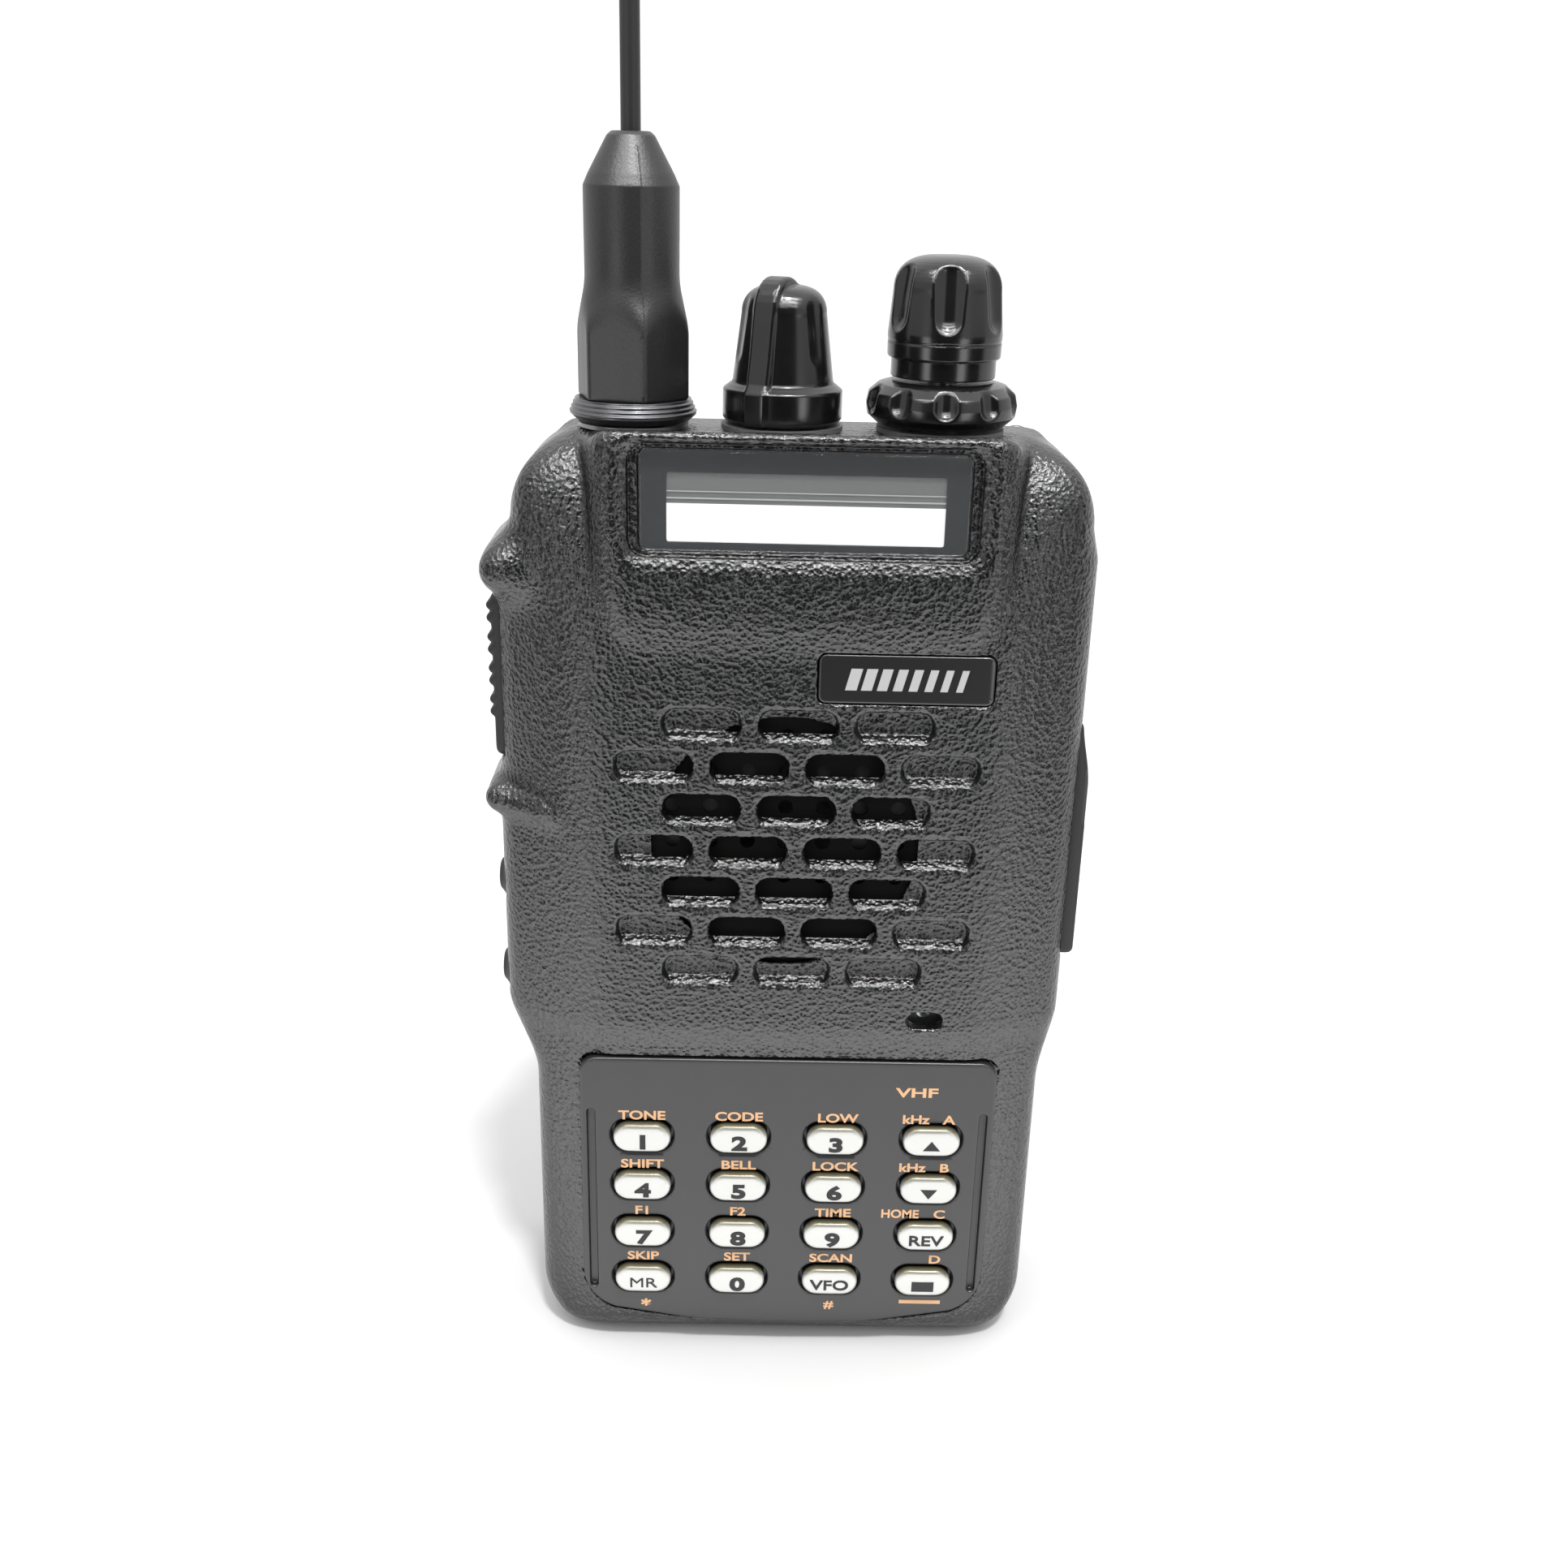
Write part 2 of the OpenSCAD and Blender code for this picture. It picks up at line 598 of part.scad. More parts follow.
module jack_block() color("#16171a") difference() {
  translate([jack_face - jack_depth - 1, jack_y0 + 1.3, jack_z0 + 2.3])
    cube([jack_depth + 1, 5.4, jack_z1 - jack_z0 - 4.6]);
  x_rod(jack_c, mic_jack_z, mic_jack_r, jack_face - jack_depth, jack_face + 1);
  x_rod(jack_c, ear_jack_z, ear_jack_r, jack_face - jack_depth, jack_face + 1);
}
module jack_cover() color("#1d1e20") difference() {
  union() {
    translate([cover_in, jack_y0, jack_z0])
      cube([cover_out - cover_in - 0.4, jack_y1 - jack_y0, jack_z1 - jack_z0]);
    translate([cover_in, jack_y0 + 0.6, jack_z0 + 0.6])
      cube([cover_out - cover_in, jack_y1 - jack_y0 - 1.2, jack_z1 - jack_z0 - 1.2]);
  }
  // Finger notch at the front edge
  translate([cover_out - 0.5, jack_y0 - 0.5, 66]) cube([2, 1.6, 6]);
}

// ---- Battery pack ----

module pack_outline(e) {
  r = base_r - 1;
  polygon(concat(
    arc(pack_half - e - r, e + r, r, -90, 0, 6),
    arc(pack_half - e - 1.5, pack_top - e - 1.5, 1.5, 0, 90, 3),
    arc(-pack_half + e + 1.5, pack_top - e - 1.5, 1.5, 90, 180, 3),
    arc(-pack_half + e + r, e + r, r, 180, 270, 6)));
}
module battery_case() color("#232427") difference() {
  slab(pack_y, back_y - lid_t) pack_outline(0);
  slab(pack_y + 1.2, back_y) pack_outline(1.3);
  translate([-5.3, pack_y - 1, 1.6]) cube([10.6, 4, 6]);
  // Finger grooves down each long side
  for (s = [-1, 1])
    for (i = [0 : 4])
      translate([s * (pack_half + 0.6), 0, 20 + i * 8]) rotate([-90, 0, 0])
        cylinder(h = 30, r = 1.1);
}
module battery_lid() color("#232427") difference() {
  intersection() {
    slab(back_y - lid_t, back_y) pack_outline(0);
    translate([0, 0, -1]) linear_extrude(90)
      polygon([[pack_half - 1.2, back_y + eps], [pack_half, back_y - lid_t],
        [-pack_half, back_y - lid_t], [-pack_half + 1.2, back_y + eps]]);
  }
  // Shallow grip recess, charge contact holes and the latch window
  translate([0, 0, 44]) slab(back_y - 0.5, back_y + 1) rounded(40, 42, 3);
  for (x = contact_xs) y_rod(x, contact_z, 1.6, back_y - 3, back_y + 1);
  translate([-8.2, back_y - 3, 2.2]) cube([16.4, 5, latch_h + latch_travel + 0.5]);
}
module battery_cells() color("#3e6e9e") {
  for (s = [-1, 1])
    translate([s * 12.7, 0, 43]) slab(pack_y + 1.4, back_y - lid_t - 0.3) rounded(24.4, 57, 3);
}
module battery_contacts() color("#c9a54a")
  for (x = contact_xs) {
    y_rod(x, contact_z, 1.6, back_y - lid_t, back_y - 0.5);
    y_rod(x, contact_z, 1, back_y - lid_t - 1, back_y - lid_t);
  }
// Sliding catch in the pack's back, with a tongue that hooks the chassis
module battery_latch() color("#2b2c2f") {
  translate([-8, back_y - lid_t, 2.5]) cube([16, 1, latch_h]);
  for (i = [0 : 3])
    translate([-6.5, back_y - 0.2, 3.6 + i * 1.7]) cube([13, 0.5, 0.8]);
  translate([-5, floor_y - 0.9, 2]) cube([10, back_y - lid_t - floor_y + 0.9, 1.2]);
  translate([-5, back_y - lid_t - 1, 2]) cube([10, 1, 6]);
}

// ---- Belt clip ----

module clip_bracket() color("#2a2b2d") difference() {
  union() {
    translate([-13, back_y, 87]) cube([26, 1.8, 17.5]);
    for (s = [-1, 1])
      translate([s * 9.5 - 1.5, back_y + 1.8, 93.5]) cube([3, 4.4 - 1.8, 5]);
    for (s = [-1, 1])
      x_rod(clip_pin_y, clip_pin_z, 2.2, s * 9.5 - 1.5, s * 9.5 + 1.5);
  }
  x_rod(clip_pin_y, clip_pin_z, clip_pin_r, -20, 20);
  for (s = [-1, 1]) y_rod(s * 9, 101, 1.25, back_y - 1, back_y + 3);
}
// Spring clip: a thumb tab, a knuckle round the pin and a long tongue
module belt_clip() color("#1b1c1e") difference() {
  union() {
    across(-7.7, 7.7) polygon(concat(
      [[clip_in_y, 104], [clip_in_y, 53], [clip_in_y - 1.2, 50.5], [clip_in_y + 0.4, 47.5],
       [clip_in_y + clip_t + 0.6, 50], [clip_in_y + clip_t, 53], [clip_in_y + clip_t, 104],
       [clip_in_y + clip_t - 0.5, 104.8], [clip_in_y + 0.5, 104.8]]));
    x_rod(clip_pin_y, clip_pin_z, 2, -7.7, 7.7);
    for (i = [0 : 4])
      translate([-6, clip_in_y + clip_t, 98.6 + i * 1.2]) cube([12, 0.35, 0.6]);
  }
  x_rod(clip_pin_y, clip_pin_z, clip_pin_r + run, -20, 20);
  // Room for the coil of the spring
  x_rod(clip_pin_y, clip_pin_z, 2.6, -3.2, 3.2);
}
module clip_pin() color("#b9bbbd") x_rod(clip_pin_y, clip_pin_z, clip_pin_r, -11, 11);
// Torsion spring, as a plain coil sleeve with its leg to the bracket
module clip_spring() color("#8c8e90") difference() {
  union() {
    x_rod(clip_pin_y, clip_pin_z, 1.9, -3, 3);
    translate([-2.9, back_y + 1.85, clip_pin_z - 5]) cube([0.8, 0.8, 5]);
  }
  x_rod(clip_pin_y, clip_pin_z, 1.25, -10, 10);
}
module case_screws() color("#9b9da0") {
  for (s = [-1, 1]) {
    y_rod(s * 9, 101, 1.2, back_y - 5, back_y + 1.8);
    y_rod(s * 9, 101, 2.1, back_y + 1.8, back_y + 2.7);
    y_rod(s * 24, 104, 1.2, back_y - 4, back_y);
    y_rod(s * 24, 104, 2.1, back_y, back_y + 0.8);
  }
}

front_case();
keypad_panel();
key_1();
key_2();
key_3();
key_up();
key_4();
key_5();
key_6();
key_down();
key_7();
key_8();
key_9();
key_reverse();
key_recall();
key_0();
key_tuning();
key_function();
keypad_board();
lcd_lens();
lcd_module();
lcd_holder();
speaker_frame();
speaker_cone();
speaker_mesh();
name_plate();
microphone();
main_board();
shield_can();
rear_chassis();
case_seal();
selector_encoder();
selector_shaft();
selector_knob();
volume_control();
volume_shaft();
volume_knob();
squelch_sleeve();
squelch_ring();
shaft_seals();
antenna_socket();
antenna_collar();
antenna_boot();
antenna_whip();
ptt_button();
monitor_button();
lamp_button();
side_switches();
jack_block();
jack_cover();
battery_case();
battery_lid();
battery_cells();
battery_contacts();
battery_latch();
clip_bracket();
belt_clip();
clip_pin();
clip_spring();
case_screws();
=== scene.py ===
"""Visual model of the handheld two-way radio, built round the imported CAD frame.

The moulded pieces are written as signed distance fields in millimetres and meshed with OpenVDB, so every
edge has a real radius. Axes: +Z up, the front faces -Y.
"""
import functools
import math
import bmesh
import bpy
import numpy as np
import openvdb as vdb
from mathutils import Matrix, Vector


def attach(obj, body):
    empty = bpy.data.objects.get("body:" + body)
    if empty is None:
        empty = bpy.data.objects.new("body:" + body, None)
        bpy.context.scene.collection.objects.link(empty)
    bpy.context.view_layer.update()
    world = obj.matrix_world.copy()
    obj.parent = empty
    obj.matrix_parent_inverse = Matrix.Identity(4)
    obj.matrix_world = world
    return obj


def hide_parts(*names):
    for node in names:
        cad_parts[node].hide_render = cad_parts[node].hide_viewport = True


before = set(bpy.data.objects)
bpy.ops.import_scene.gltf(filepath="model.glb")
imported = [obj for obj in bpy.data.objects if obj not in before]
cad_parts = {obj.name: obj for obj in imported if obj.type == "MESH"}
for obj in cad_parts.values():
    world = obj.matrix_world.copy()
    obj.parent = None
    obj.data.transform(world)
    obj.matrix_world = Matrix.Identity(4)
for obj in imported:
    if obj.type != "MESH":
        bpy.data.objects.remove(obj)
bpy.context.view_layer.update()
MM = 0.001

# Depths in millimetres, from the front to the back
BROW = -13.6
KEY_TOP = -12.85
FRONT = -12.4
PANEL = -12.0
FLANGE = -10.75
CASE_END = 1.9
CASTING = 2.4
PACK_START = 3.6
BACK = 12.9

# Places and sizes that several pieces share, in millimetres. SHARP is the blend of an edge with no radius.
SHARP = 0.01
WALL = 1.8
DECK_Z = 107.5
BROW_Z = 108.5
LCD_Z = 101.7
KEYS_Z = 19.24
KEY_STEP_X, KEY_STEP_Z = 11, 6.47
GRILLE_Z = 64.46
SLOT_STEP_X, SLOT_STEP_Z = 10, 4.72
SPEAKER = (-1.1, 65)
PLATE_X, PLATE_Z = 10.9, 83.9
AXIS_Y = -2.4
ANTENNA_X = -17.5
SELECTOR_X = -2.35
VOLUME_X = 13.8
SIDE_Y = -2.2
TALK_Z = 81.1
MONITOR_Z = 57
LAMP_Z = 45.6
JACK_Y, JACK_Z = -2.7, 63.8


# ---- Distance fields ----

def smin(a, b, k):
    """The lower of two fields, blended over k."""
    h = np.maximum(k - np.abs(a - b), 0) / k
    return np.minimum(a, b) - h * h * k * 0.25


def smax(a, b, k):
    """The higher of two fields, blended over k."""
    h = np.maximum(k - np.abs(a - b), 0) / k
    return np.maximum(a, b) + h * h * k * 0.25


def union(fields):
    """All of several fields together."""
    return functools.reduce(np.minimum, fields)


def step(t, low, high):
    """A smooth rise from 0 at low to 1 at high."""
    t = np.clip((t - low) / (high - low), 0, 1)
    return t * t * (3 - 2 * t)


def facet(u, v, a, b):
    """Distance from the line a to b. It is positive on the right-hand side of the way from a to b."""
    du, dv = b[0] - a[0], b[1] - a[1]
    return ((u - a[0]) * dv - (v - a[1]) * du) / math.hypot(du, dv)


def rounded(u, v, w, h, r):
    """Rounded rectangle of width w and height h."""
    a = np.abs(u) - w / 2 + r
    b = np.abs(v) - h / 2 + r
    return np.minimum(np.maximum(a, b), 0) + np.hypot(np.maximum(a, 0), np.maximum(b, 0)) - r


def polygon(points, u, v):
    """Signed distance to a closed polygon."""
    near, inside = None, None
    for i, a in enumerate(points):
        b = points[(i + 1) % len(points)]
        e = (b[0] - a[0], b[1] - a[1])
        wu, wv = u - a[0], v - a[1]
        t = np.clip((wu * e[0] + wv * e[1]) / (e[0] ** 2 + e[1] ** 2 + 1e-12), 0, 1)
        d = (wu - t * e[0]) ** 2 + (wv - t * e[1]) ** 2
        near = d if near is None else np.minimum(near, d)
        if abs(e[1]) > 1e-9:
            cross = ((a[1] <= v) != (b[1] <= v)) & (u < a[0] + (v - a[1]) * e[0] / e[1])
        else:
            cross = np.zeros(d.shape, bool)
        inside = cross if inside is None else inside ^ cross
    return np.where(inside, -1.0, 1.0) * np.sqrt(near)


def slab(flat, t, low, high, k):
    """A flat shape made thick between low and high, with its edges rounded over k."""
    return smax(smax(flat, low - t, k), t - high, k)


def capsule(x, y, z, a, b, r):
    """A rod with round ends from a to b."""
    e = [b[i] - a[i] for i in range(3)]
    w = (x - a[0], y - a[1], z - a[2])
    t = np.clip(sum(w[i] * e[i] for i in range(3)) / sum(c * c for c in e), 0, 1)
    return np.sqrt(sum((w[i] - t * e[i]) ** 2 for i in range(3))) - r


def turn(x, y, degrees):
    """Coordinates in axes turned by an angle about Z."""
    c, s = math.cos(math.radians(degrees)), math.sin(math.radians(degrees))
    return x * c + y * s, y * c - x * s


def arc(cx, cy, r, a0, a1, n=10):
    """Points round an arc from angle a0 to a1, in degrees."""
    angles = [math.radians(a0 + (a1 - a0) * i / n) for i in range(n + 1)]
    return [(cx + r * math.cos(a), cy + r * math.sin(a)) for a in angles]


# ---- Meshes ----

def new_mesh(name, points, faces, normals=None):
    """An object in the scene from points in millimetres and lists of faces."""
    mesh = bpy.data.meshes.new(name)
    counts = np.concatenate([np.full(len(f), f.shape[1]) for f in faces])
    loops = np.concatenate([f.ravel() for f in faces])
    starts = np.concatenate([[0], np.cumsum(counts)[:-1]])
    mesh.vertices.add(len(points))
    mesh.vertices.foreach_set("co", (np.asarray(points) * MM).astype(np.float32).ravel())
    mesh.loops.add(len(loops))
    mesh.loops.foreach_set("vertex_index", loops.astype(np.int32))
    mesh.polygons.add(len(counts))
    mesh.polygons.foreach_set("loop_start", starts.astype(np.int32))
    mesh.update(calc_edges=True)
    mesh.validate()
    mesh.shade_smooth()
    if normals is not None and len(mesh.vertices) == len(normals):
        mesh.normals_split_custom_set_from_vertices(normals.tolist())
    piece = bpy.data.objects.new(name, mesh)
    bpy.context.scene.collection.objects.link(piece)
    return piece


def settle(piece, body, material, nodes=()):
    """Gives a piece its material and its body, and hides the CAD nodes that it stands for."""
    piece.data.materials.clear()
    piece.data.materials.append(material)
    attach(piece, body)
    if nodes:
        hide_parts(*nodes)
    return piece


def slopes(field, points, e=0.04):
    """Unit normals of a field at points."""
    out = np.zeros_like(points)
    for i in range(3):
        ends = []
        for s in (e, -e):
            moved = points.copy()
            moved[:, i] += s
            ends.append(field(moved[:, 0], moved[:, 1], moved[:, 2]))
        out[:, i] = ends[0] - ends[1]
    length = np.linalg.norm(out, axis=1)
    return out / np.maximum(length, 1e-9)[:, None]


def mould(name, field, low, high, size=0.2, adaptivity=0.01):
    """Meshes a field between two corners on a grid of the given size, and moves its points onto the field."""
    band = 3 * size
    axes = [np.arange(a - 2 * size, b + band, size, dtype=np.float32) for a, b in zip(low, high)]
    x, y, z = np.meshgrid(*axes, indexing="ij", sparse=True)
    full = np.broadcast_to(field(x, y, z), [len(a) for a in axes])
    values = np.ascontiguousarray(np.clip(full, -band, band), dtype=np.float32)
    grid = vdb.FloatGrid(band)
    grid.copyFromArray(values)
    grid.transform = vdb.createLinearTransform(voxelSize=size)
    points, tris, quads = grid.convertToPolygons(0.0, adaptivity)
    points = points.astype(np.float64) + np.array([a[0] for a in axes])
    normals = slopes(field, points)
    error = field(points[:, 0], points[:, 1], points[:, 2])
    points -= normals * np.clip(error, -size / 2, size / 2)[:, None]
    faces = [f.astype(np.int64) for f in (tris, quads) if len(f)]
    # The faces are turned over if they face inwards
    sample = faces[-1]
    a, b, c = (points[sample[:, i]] for i in range(3))
    outward = np.einsum("ij,ij->i", np.cross(b - a, c - a), normals[sample[:, 0]]).sum()
    if outward < 0:
        faces = [f[:, ::-1] for f in faces]
    return new_mesh(name, points, faces, normals)


def round_box(x, r, low, high):
    """Two corners of a box round an upright axis on the top of the radio."""
    return (x - r, AXIS_Y - r, low), (x + r, AXIS_Y + r, high)


def turned(name, profile, centre, steps=64):
    """A closed turned piece from a profile of (radius, height), which starts and ends on the axis."""
    points, rings = [], []
    for r, z in profile:
        if r < 1e-6:
            rings.append([len(points)])
            points.append((centre[0], centre[1], z))
            continue
        rings.append(list(range(len(points), len(points) + steps)))
        points += [(centre[0] + r * math.cos(2 * math.pi * i / steps),
                    centre[1] + r * math.sin(2 * math.pi * i / steps), z) for i in range(steps)]
    tris, quads = [], []
    for low, high in zip(rings, rings[1:]):
        for i in range(steps):
            j = (i + 1) % steps
            if len(low) == 1:
                tris.append((low[0], high[j], high[i]))
            elif len(high) == 1:
                tris.append((low[i], low[j], high[0]))
            else:
                quads.append((low[i], low[j], high[j], high[i]))
    faces = [np.array(f) for f in (tris, quads) if f]
    piece = new_mesh(name, np.array(points, float), faces)
    piece.data.set_sharp_from_angle(angle=math.radians(38))
    return piece


def flat_pieces(name, outlines, low, high):
    """Closed plates between two depths, from outlines in X and Z drawn anticlockwise from the front."""
    points, tris, quads = [], [], []
    for outline in outlines:
        n, base = len(outline), len(points)
        centre = (sum(p[0] for p in outline) / n, sum(p[1] for p in outline) / n)
        for depth in (low, high):
            points += [(p[0], depth, p[1]) for p in outline]
            points.append((centre[0], depth, centre[1]))
        for i in range(n):
            j = (i + 1) % n
            tris.append((base + n, base + i, base + j))
            tris.append((base + 2 * n + 1, base + n + 1 + j, base + n + 1 + i))
            quads.append((base + i, base + n + 1 + i, base + n + 1 + j, base + j))
    piece = new_mesh(name, np.array(points, float), [np.array(tris), np.array(quads)])
    piece.data.shade_flat()
    return piece


# Height of a capital letter in the built-in font at size 1, and how near in mm two points are welded
CAP_HEIGHT = 0.73
WELD = 0.0005


def letters(name, words, low, high, bold=0.02):
    """Lettering as thin solids between two depths. Each word is (text, x, z, height, width factor)."""
    points, faces = [], []
    for text, x, z, height, wide in words:
        curve = bpy.data.curves.new(name, "FONT")
        curve.body = text
        curve.align_x = "CENTER"
        curve.extrude = 0.5
        curve.offset = bold
        curve.resolution_u = 4
        holder = bpy.data.objects.new(name + "_draft", curve)
        bpy.context.scene.collection.objects.link(holder)
        bpy.context.view_layer.update()
        mesh = bpy.data.meshes.new_from_object(holder.evaluated_get(bpy.context.evaluated_depsgraph_get()))
        scale = height / CAP_HEIGHT
        base = len(points)
        for v in mesh.vertices:
            depth = low if v.co.z > 0 else high
            points.append((x + v.co.x * scale * wide, depth, z + v.co.y * scale - height / 2))
        faces += [tuple(base + i for i in p.vertices) for p in mesh.polygons]
        bpy.data.objects.remove(holder)
        bpy.data.meshes.remove(mesh)
        bpy.data.curves.remove(curve)
    mesh = bpy.data.meshes.new(name)
    mesh.from_pydata([[c * MM for c in p] for p in points], [], faces)
    shape = bmesh.new()
    shape.from_mesh(mesh)
    bmesh.ops.remove_doubles(shape, verts=shape.verts, dist=WELD * MM)
    bmesh.ops.recalc_face_normals(shape, faces=shape.faces)
    shape.to_mesh(mesh)
    shape.free()
    mesh.validate()
    made = bpy.data.objects.new(name, mesh)
    bpy.context.scene.collection.objects.link(made)
    return made


# ---- Materials ----

def material(name, colour, rough, metal=0.0, gloss=0.5, grain=None, mottle=None, coat=0.0, alpha=1.0,
             glow=0.0):
    """A plastic, rubber or metal. grain is (cell size in mm, depth in mm) of a leather-like texture, and
    mottle is (size in mm, amount) of a slow change in roughness."""
    made = bpy.data.materials.new(name)
    made.use_nodes = True
    nodes, links = made.node_tree.nodes, made.node_tree.links
    shader = nodes["Principled BSDF"]
    shader.inputs["Base Color"].default_value = (*colour, 1)
    shader.inputs["Roughness"].default_value = rough
    shader.inputs["Metallic"].default_value = metal
    shader.inputs["Specular IOR Level"].default_value = gloss
    shader.inputs["Coat Weight"].default_value = coat
    shader.inputs["Alpha"].default_value = alpha
    if glow:
        shader.inputs["Emission Color"].default_value = (*colour, 1)
        shader.inputs["Emission Strength"].default_value = glow
    place = nodes.new("ShaderNodeTexCoord")
    if mottle:
        noise = nodes.new("ShaderNodeTexNoise")
        noise.inputs["Scale"].default_value = 1000 / mottle[0]
        noise.inputs["Detail"].default_value = 3
        links.new(place.outputs["Object"], noise.inputs["Vector"])
        spread = nodes.new("ShaderNodeMapRange")
        spread.inputs["To Min"].default_value = max(rough - mottle[1], 0.02)
        spread.inputs["To Max"].default_value = min(rough + mottle[1], 1)
        links.new(noise.outputs["Fac"], spread.inputs["Value"])
        links.new(spread.outputs["Result"], shader.inputs["Roughness"])
    if grain:
        bump = leather(nodes, links, place, *grain)
        links.new(bump.outputs["Normal"], shader.inputs["Normal"])
    return made


def leather(nodes, links, place, cell, depth):
    """A bump of irregular pebbles about one cell across, with finer noise on top."""
    warp = nodes.new("ShaderNodeTexNoise")
    warp.inputs["Scale"].default_value = 700 / cell
    warp.inputs["Detail"].default_value = 2
    links.new(place.outputs["Object"], warp.inputs["Vector"])
    shift = nodes.new("ShaderNodeVectorMath")
    shift.operation = "MULTIPLY_ADD"
    shift.inputs[1].default_value = (0.0006 * cell,) * 3
    links.new(warp.outputs["Color"], shift.inputs[0])
    links.new(place.outputs["Object"], shift.inputs[2])
    pebble = nodes.new("ShaderNodeTexVoronoi")
    pebble.feature = "SMOOTH_F1"
    pebble.inputs["Smoothness"].default_value = 0.35
    pebble.inputs["Scale"].default_value = 1000 / cell
    links.new(shift.outputs["Vector"], pebble.inputs["Vector"])
    fine = nodes.new("ShaderNodeTexNoise")
    fine.inputs["Scale"].default_value = 2600 / cell
    fine.inputs["Detail"].default_value = 2
    links.new(place.outputs["Object"], fine.inputs["Vector"])
    total = nodes.new("ShaderNodeMath")
    total.operation = "MULTIPLY_ADD"
    total.inputs[1].default_value = 0.45
    links.new(fine.outputs["Fac"], total.inputs[0])
    links.new(pebble.outputs["Distance"], total.inputs[2])
    bump = nodes.new("ShaderNodeBump")
    bump.inputs["Strength"].default_value = 1.0
    bump.inputs["Distance"].default_value = depth * MM
    links.new(total.outputs["Value"], bump.inputs["Height"])
    return bump


def paint_key_face_and_shade(made):
    """Makes a key silver on its face, with painted shade in dark tan where the cap faces upwards, and black
    painted shade where its skirt sits back in the gap behind the panel's face.
    """
    nodes, links = made.node_tree.nodes, made.node_tree.links
    surface = nodes.new("ShaderNodeNewGeometry")
    facing = nodes.new("ShaderNodeSeparateXYZ")
    links.new(surface.outputs["Normal"], facing.inputs["Vector"])
    # Painted shade: surfaces that face upwards are darkened to dark tan, as if they lay in shade
    top_shade_mask = nodes.new("ShaderNodeMapRange")
    top_shade_mask.inputs["From Min"].default_value = 0.04
    top_shade_mask.inputs["From Max"].default_value = 0.75
    links.new(facing.outputs["Z"], top_shade_mask.inputs["Value"])
    face_with_painted_top_shade = nodes.new("ShaderNodeMix")
    face_with_painted_top_shade.data_type = "RGBA"
    face_with_painted_top_shade.inputs["A"].default_value = (0.46, 0.46, 0.445, 1)
    face_with_painted_top_shade.inputs["B"].default_value = (0.13, 0.12, 0.075, 1)
    links.new(top_shade_mask.outputs["Result"], face_with_painted_top_shade.inputs["Factor"])
    # Painted shade: the cap goes black where it sits back in the gap behind the panel's face
    place = nodes.new("ShaderNodeTexCoord")
    depth = nodes.new("ShaderNodeSeparateXYZ")
    links.new(place.outputs["Object"], depth.inputs["Vector"])
    gap_shade_mask = nodes.new("ShaderNodeMapRange")
    gap_shade_mask.inputs["From Min"].default_value = -12.2 * MM
    gap_shade_mask.inputs["From Max"].default_value = -11.7 * MM
    links.new(depth.outputs["Y"], gap_shade_mask.inputs["Value"])
    skirt_painted_shade = nodes.new("ShaderNodeMix")
    skirt_painted_shade.data_type = "RGBA"
    skirt_painted_shade.inputs["B"].default_value = (0.006, 0.006, 0.006, 1)
    links.new(gap_shade_mask.outputs["Result"], skirt_painted_shade.inputs["Factor"])
    links.new(face_with_painted_top_shade.outputs["Result"], skirt_painted_shade.inputs["A"])
    links.new(skirt_painted_shade.outputs["Result"], nodes["Principled BSDF"].inputs["Base Color"])


CASE = material("case_black", (0.003, 0.003, 0.0032), 0.22, gloss=0.62, grain=(0.5, 0.14))
PACK = material("pack_black", (0.005, 0.005, 0.0053), 0.28, gloss=0.6, grain=(0.55, 0.12))
PANEL_GREY = material("panel_grey", (0.018, 0.018, 0.0185), 0.36, gloss=0.42, mottle=(3, 0.05))
KEY_SILVER_PAINTED_SHADE = material("key_silver_painted_shade", (0.6, 0.6, 0.57), 0.3, metal=0.3, gloss=0.5, mottle=(1.2, 0.05))
paint_key_face_and_shade(KEY_SILVER_PAINTED_SHADE)
INK = material("key_ink", (0.006, 0.006, 0.006), 0.5, gloss=0.3)
ORANGE = material("legend_orange", (0.62, 0.36, 0.19), 0.45, gloss=0.3)
SILVER = material("badge_silver", (0.38, 0.38, 0.38), 0.4, gloss=0.4)
BADGE = material("badge_black", (0.008, 0.008, 0.0085), 0.3, gloss=0.6)
KNOB = material("knob_black", (0.005, 0.005, 0.0053), 0.2, gloss=0.5, mottle=(2, 0.05))
BOOT = material("boot_rubber_black", (0.006, 0.006, 0.0063), 0.4, gloss=0.5, grain=(0.3, 0.012))
WHIP = material("whip_black", (0.008, 0.008, 0.0085), 0.4, gloss=0.4)
RUBBER = material("button_rubber_black", (0.011, 0.011, 0.0115), 0.55, gloss=0.3)
COLLAR = material("collar_dark_metal", (0.09, 0.09, 0.095), 0.28, metal=0.9)
BRASS = material("brass_plated", (0.75, 0.6, 0.32), 0.28, metal=1.0)
STEEL = material("steel_bare", (0.58, 0.59, 0.6), 0.3, metal=1.0, mottle=(2, 0.06))
DARK_STEEL = material("steel_dark", (0.12, 0.12, 0.13), 0.38, metal=0.9)
SEAL = material("seal_grey", (0.09, 0.09, 0.088), 0.5, grain=(0.3, 0.05))
NICKEL = material("socket_nickel", (0.2, 0.2, 0.2), 0.35, metal=0.9, mottle=(1, 0.08))
CHASSIS = material("chassis_black", (0.013, 0.013, 0.014), 0.5, gloss=0.4, grain=(0.35, 0.03))
BOARD = material("board_green", (0.02, 0.13, 0.05), 0.4, mottle=(2, 0.08))
WHITE = material("white_plastic", (0.75, 0.75, 0.72), 0.5)
CLOTH = material("cloth_black", (0.003, 0.003, 0.003), 0.9, gloss=0.1)
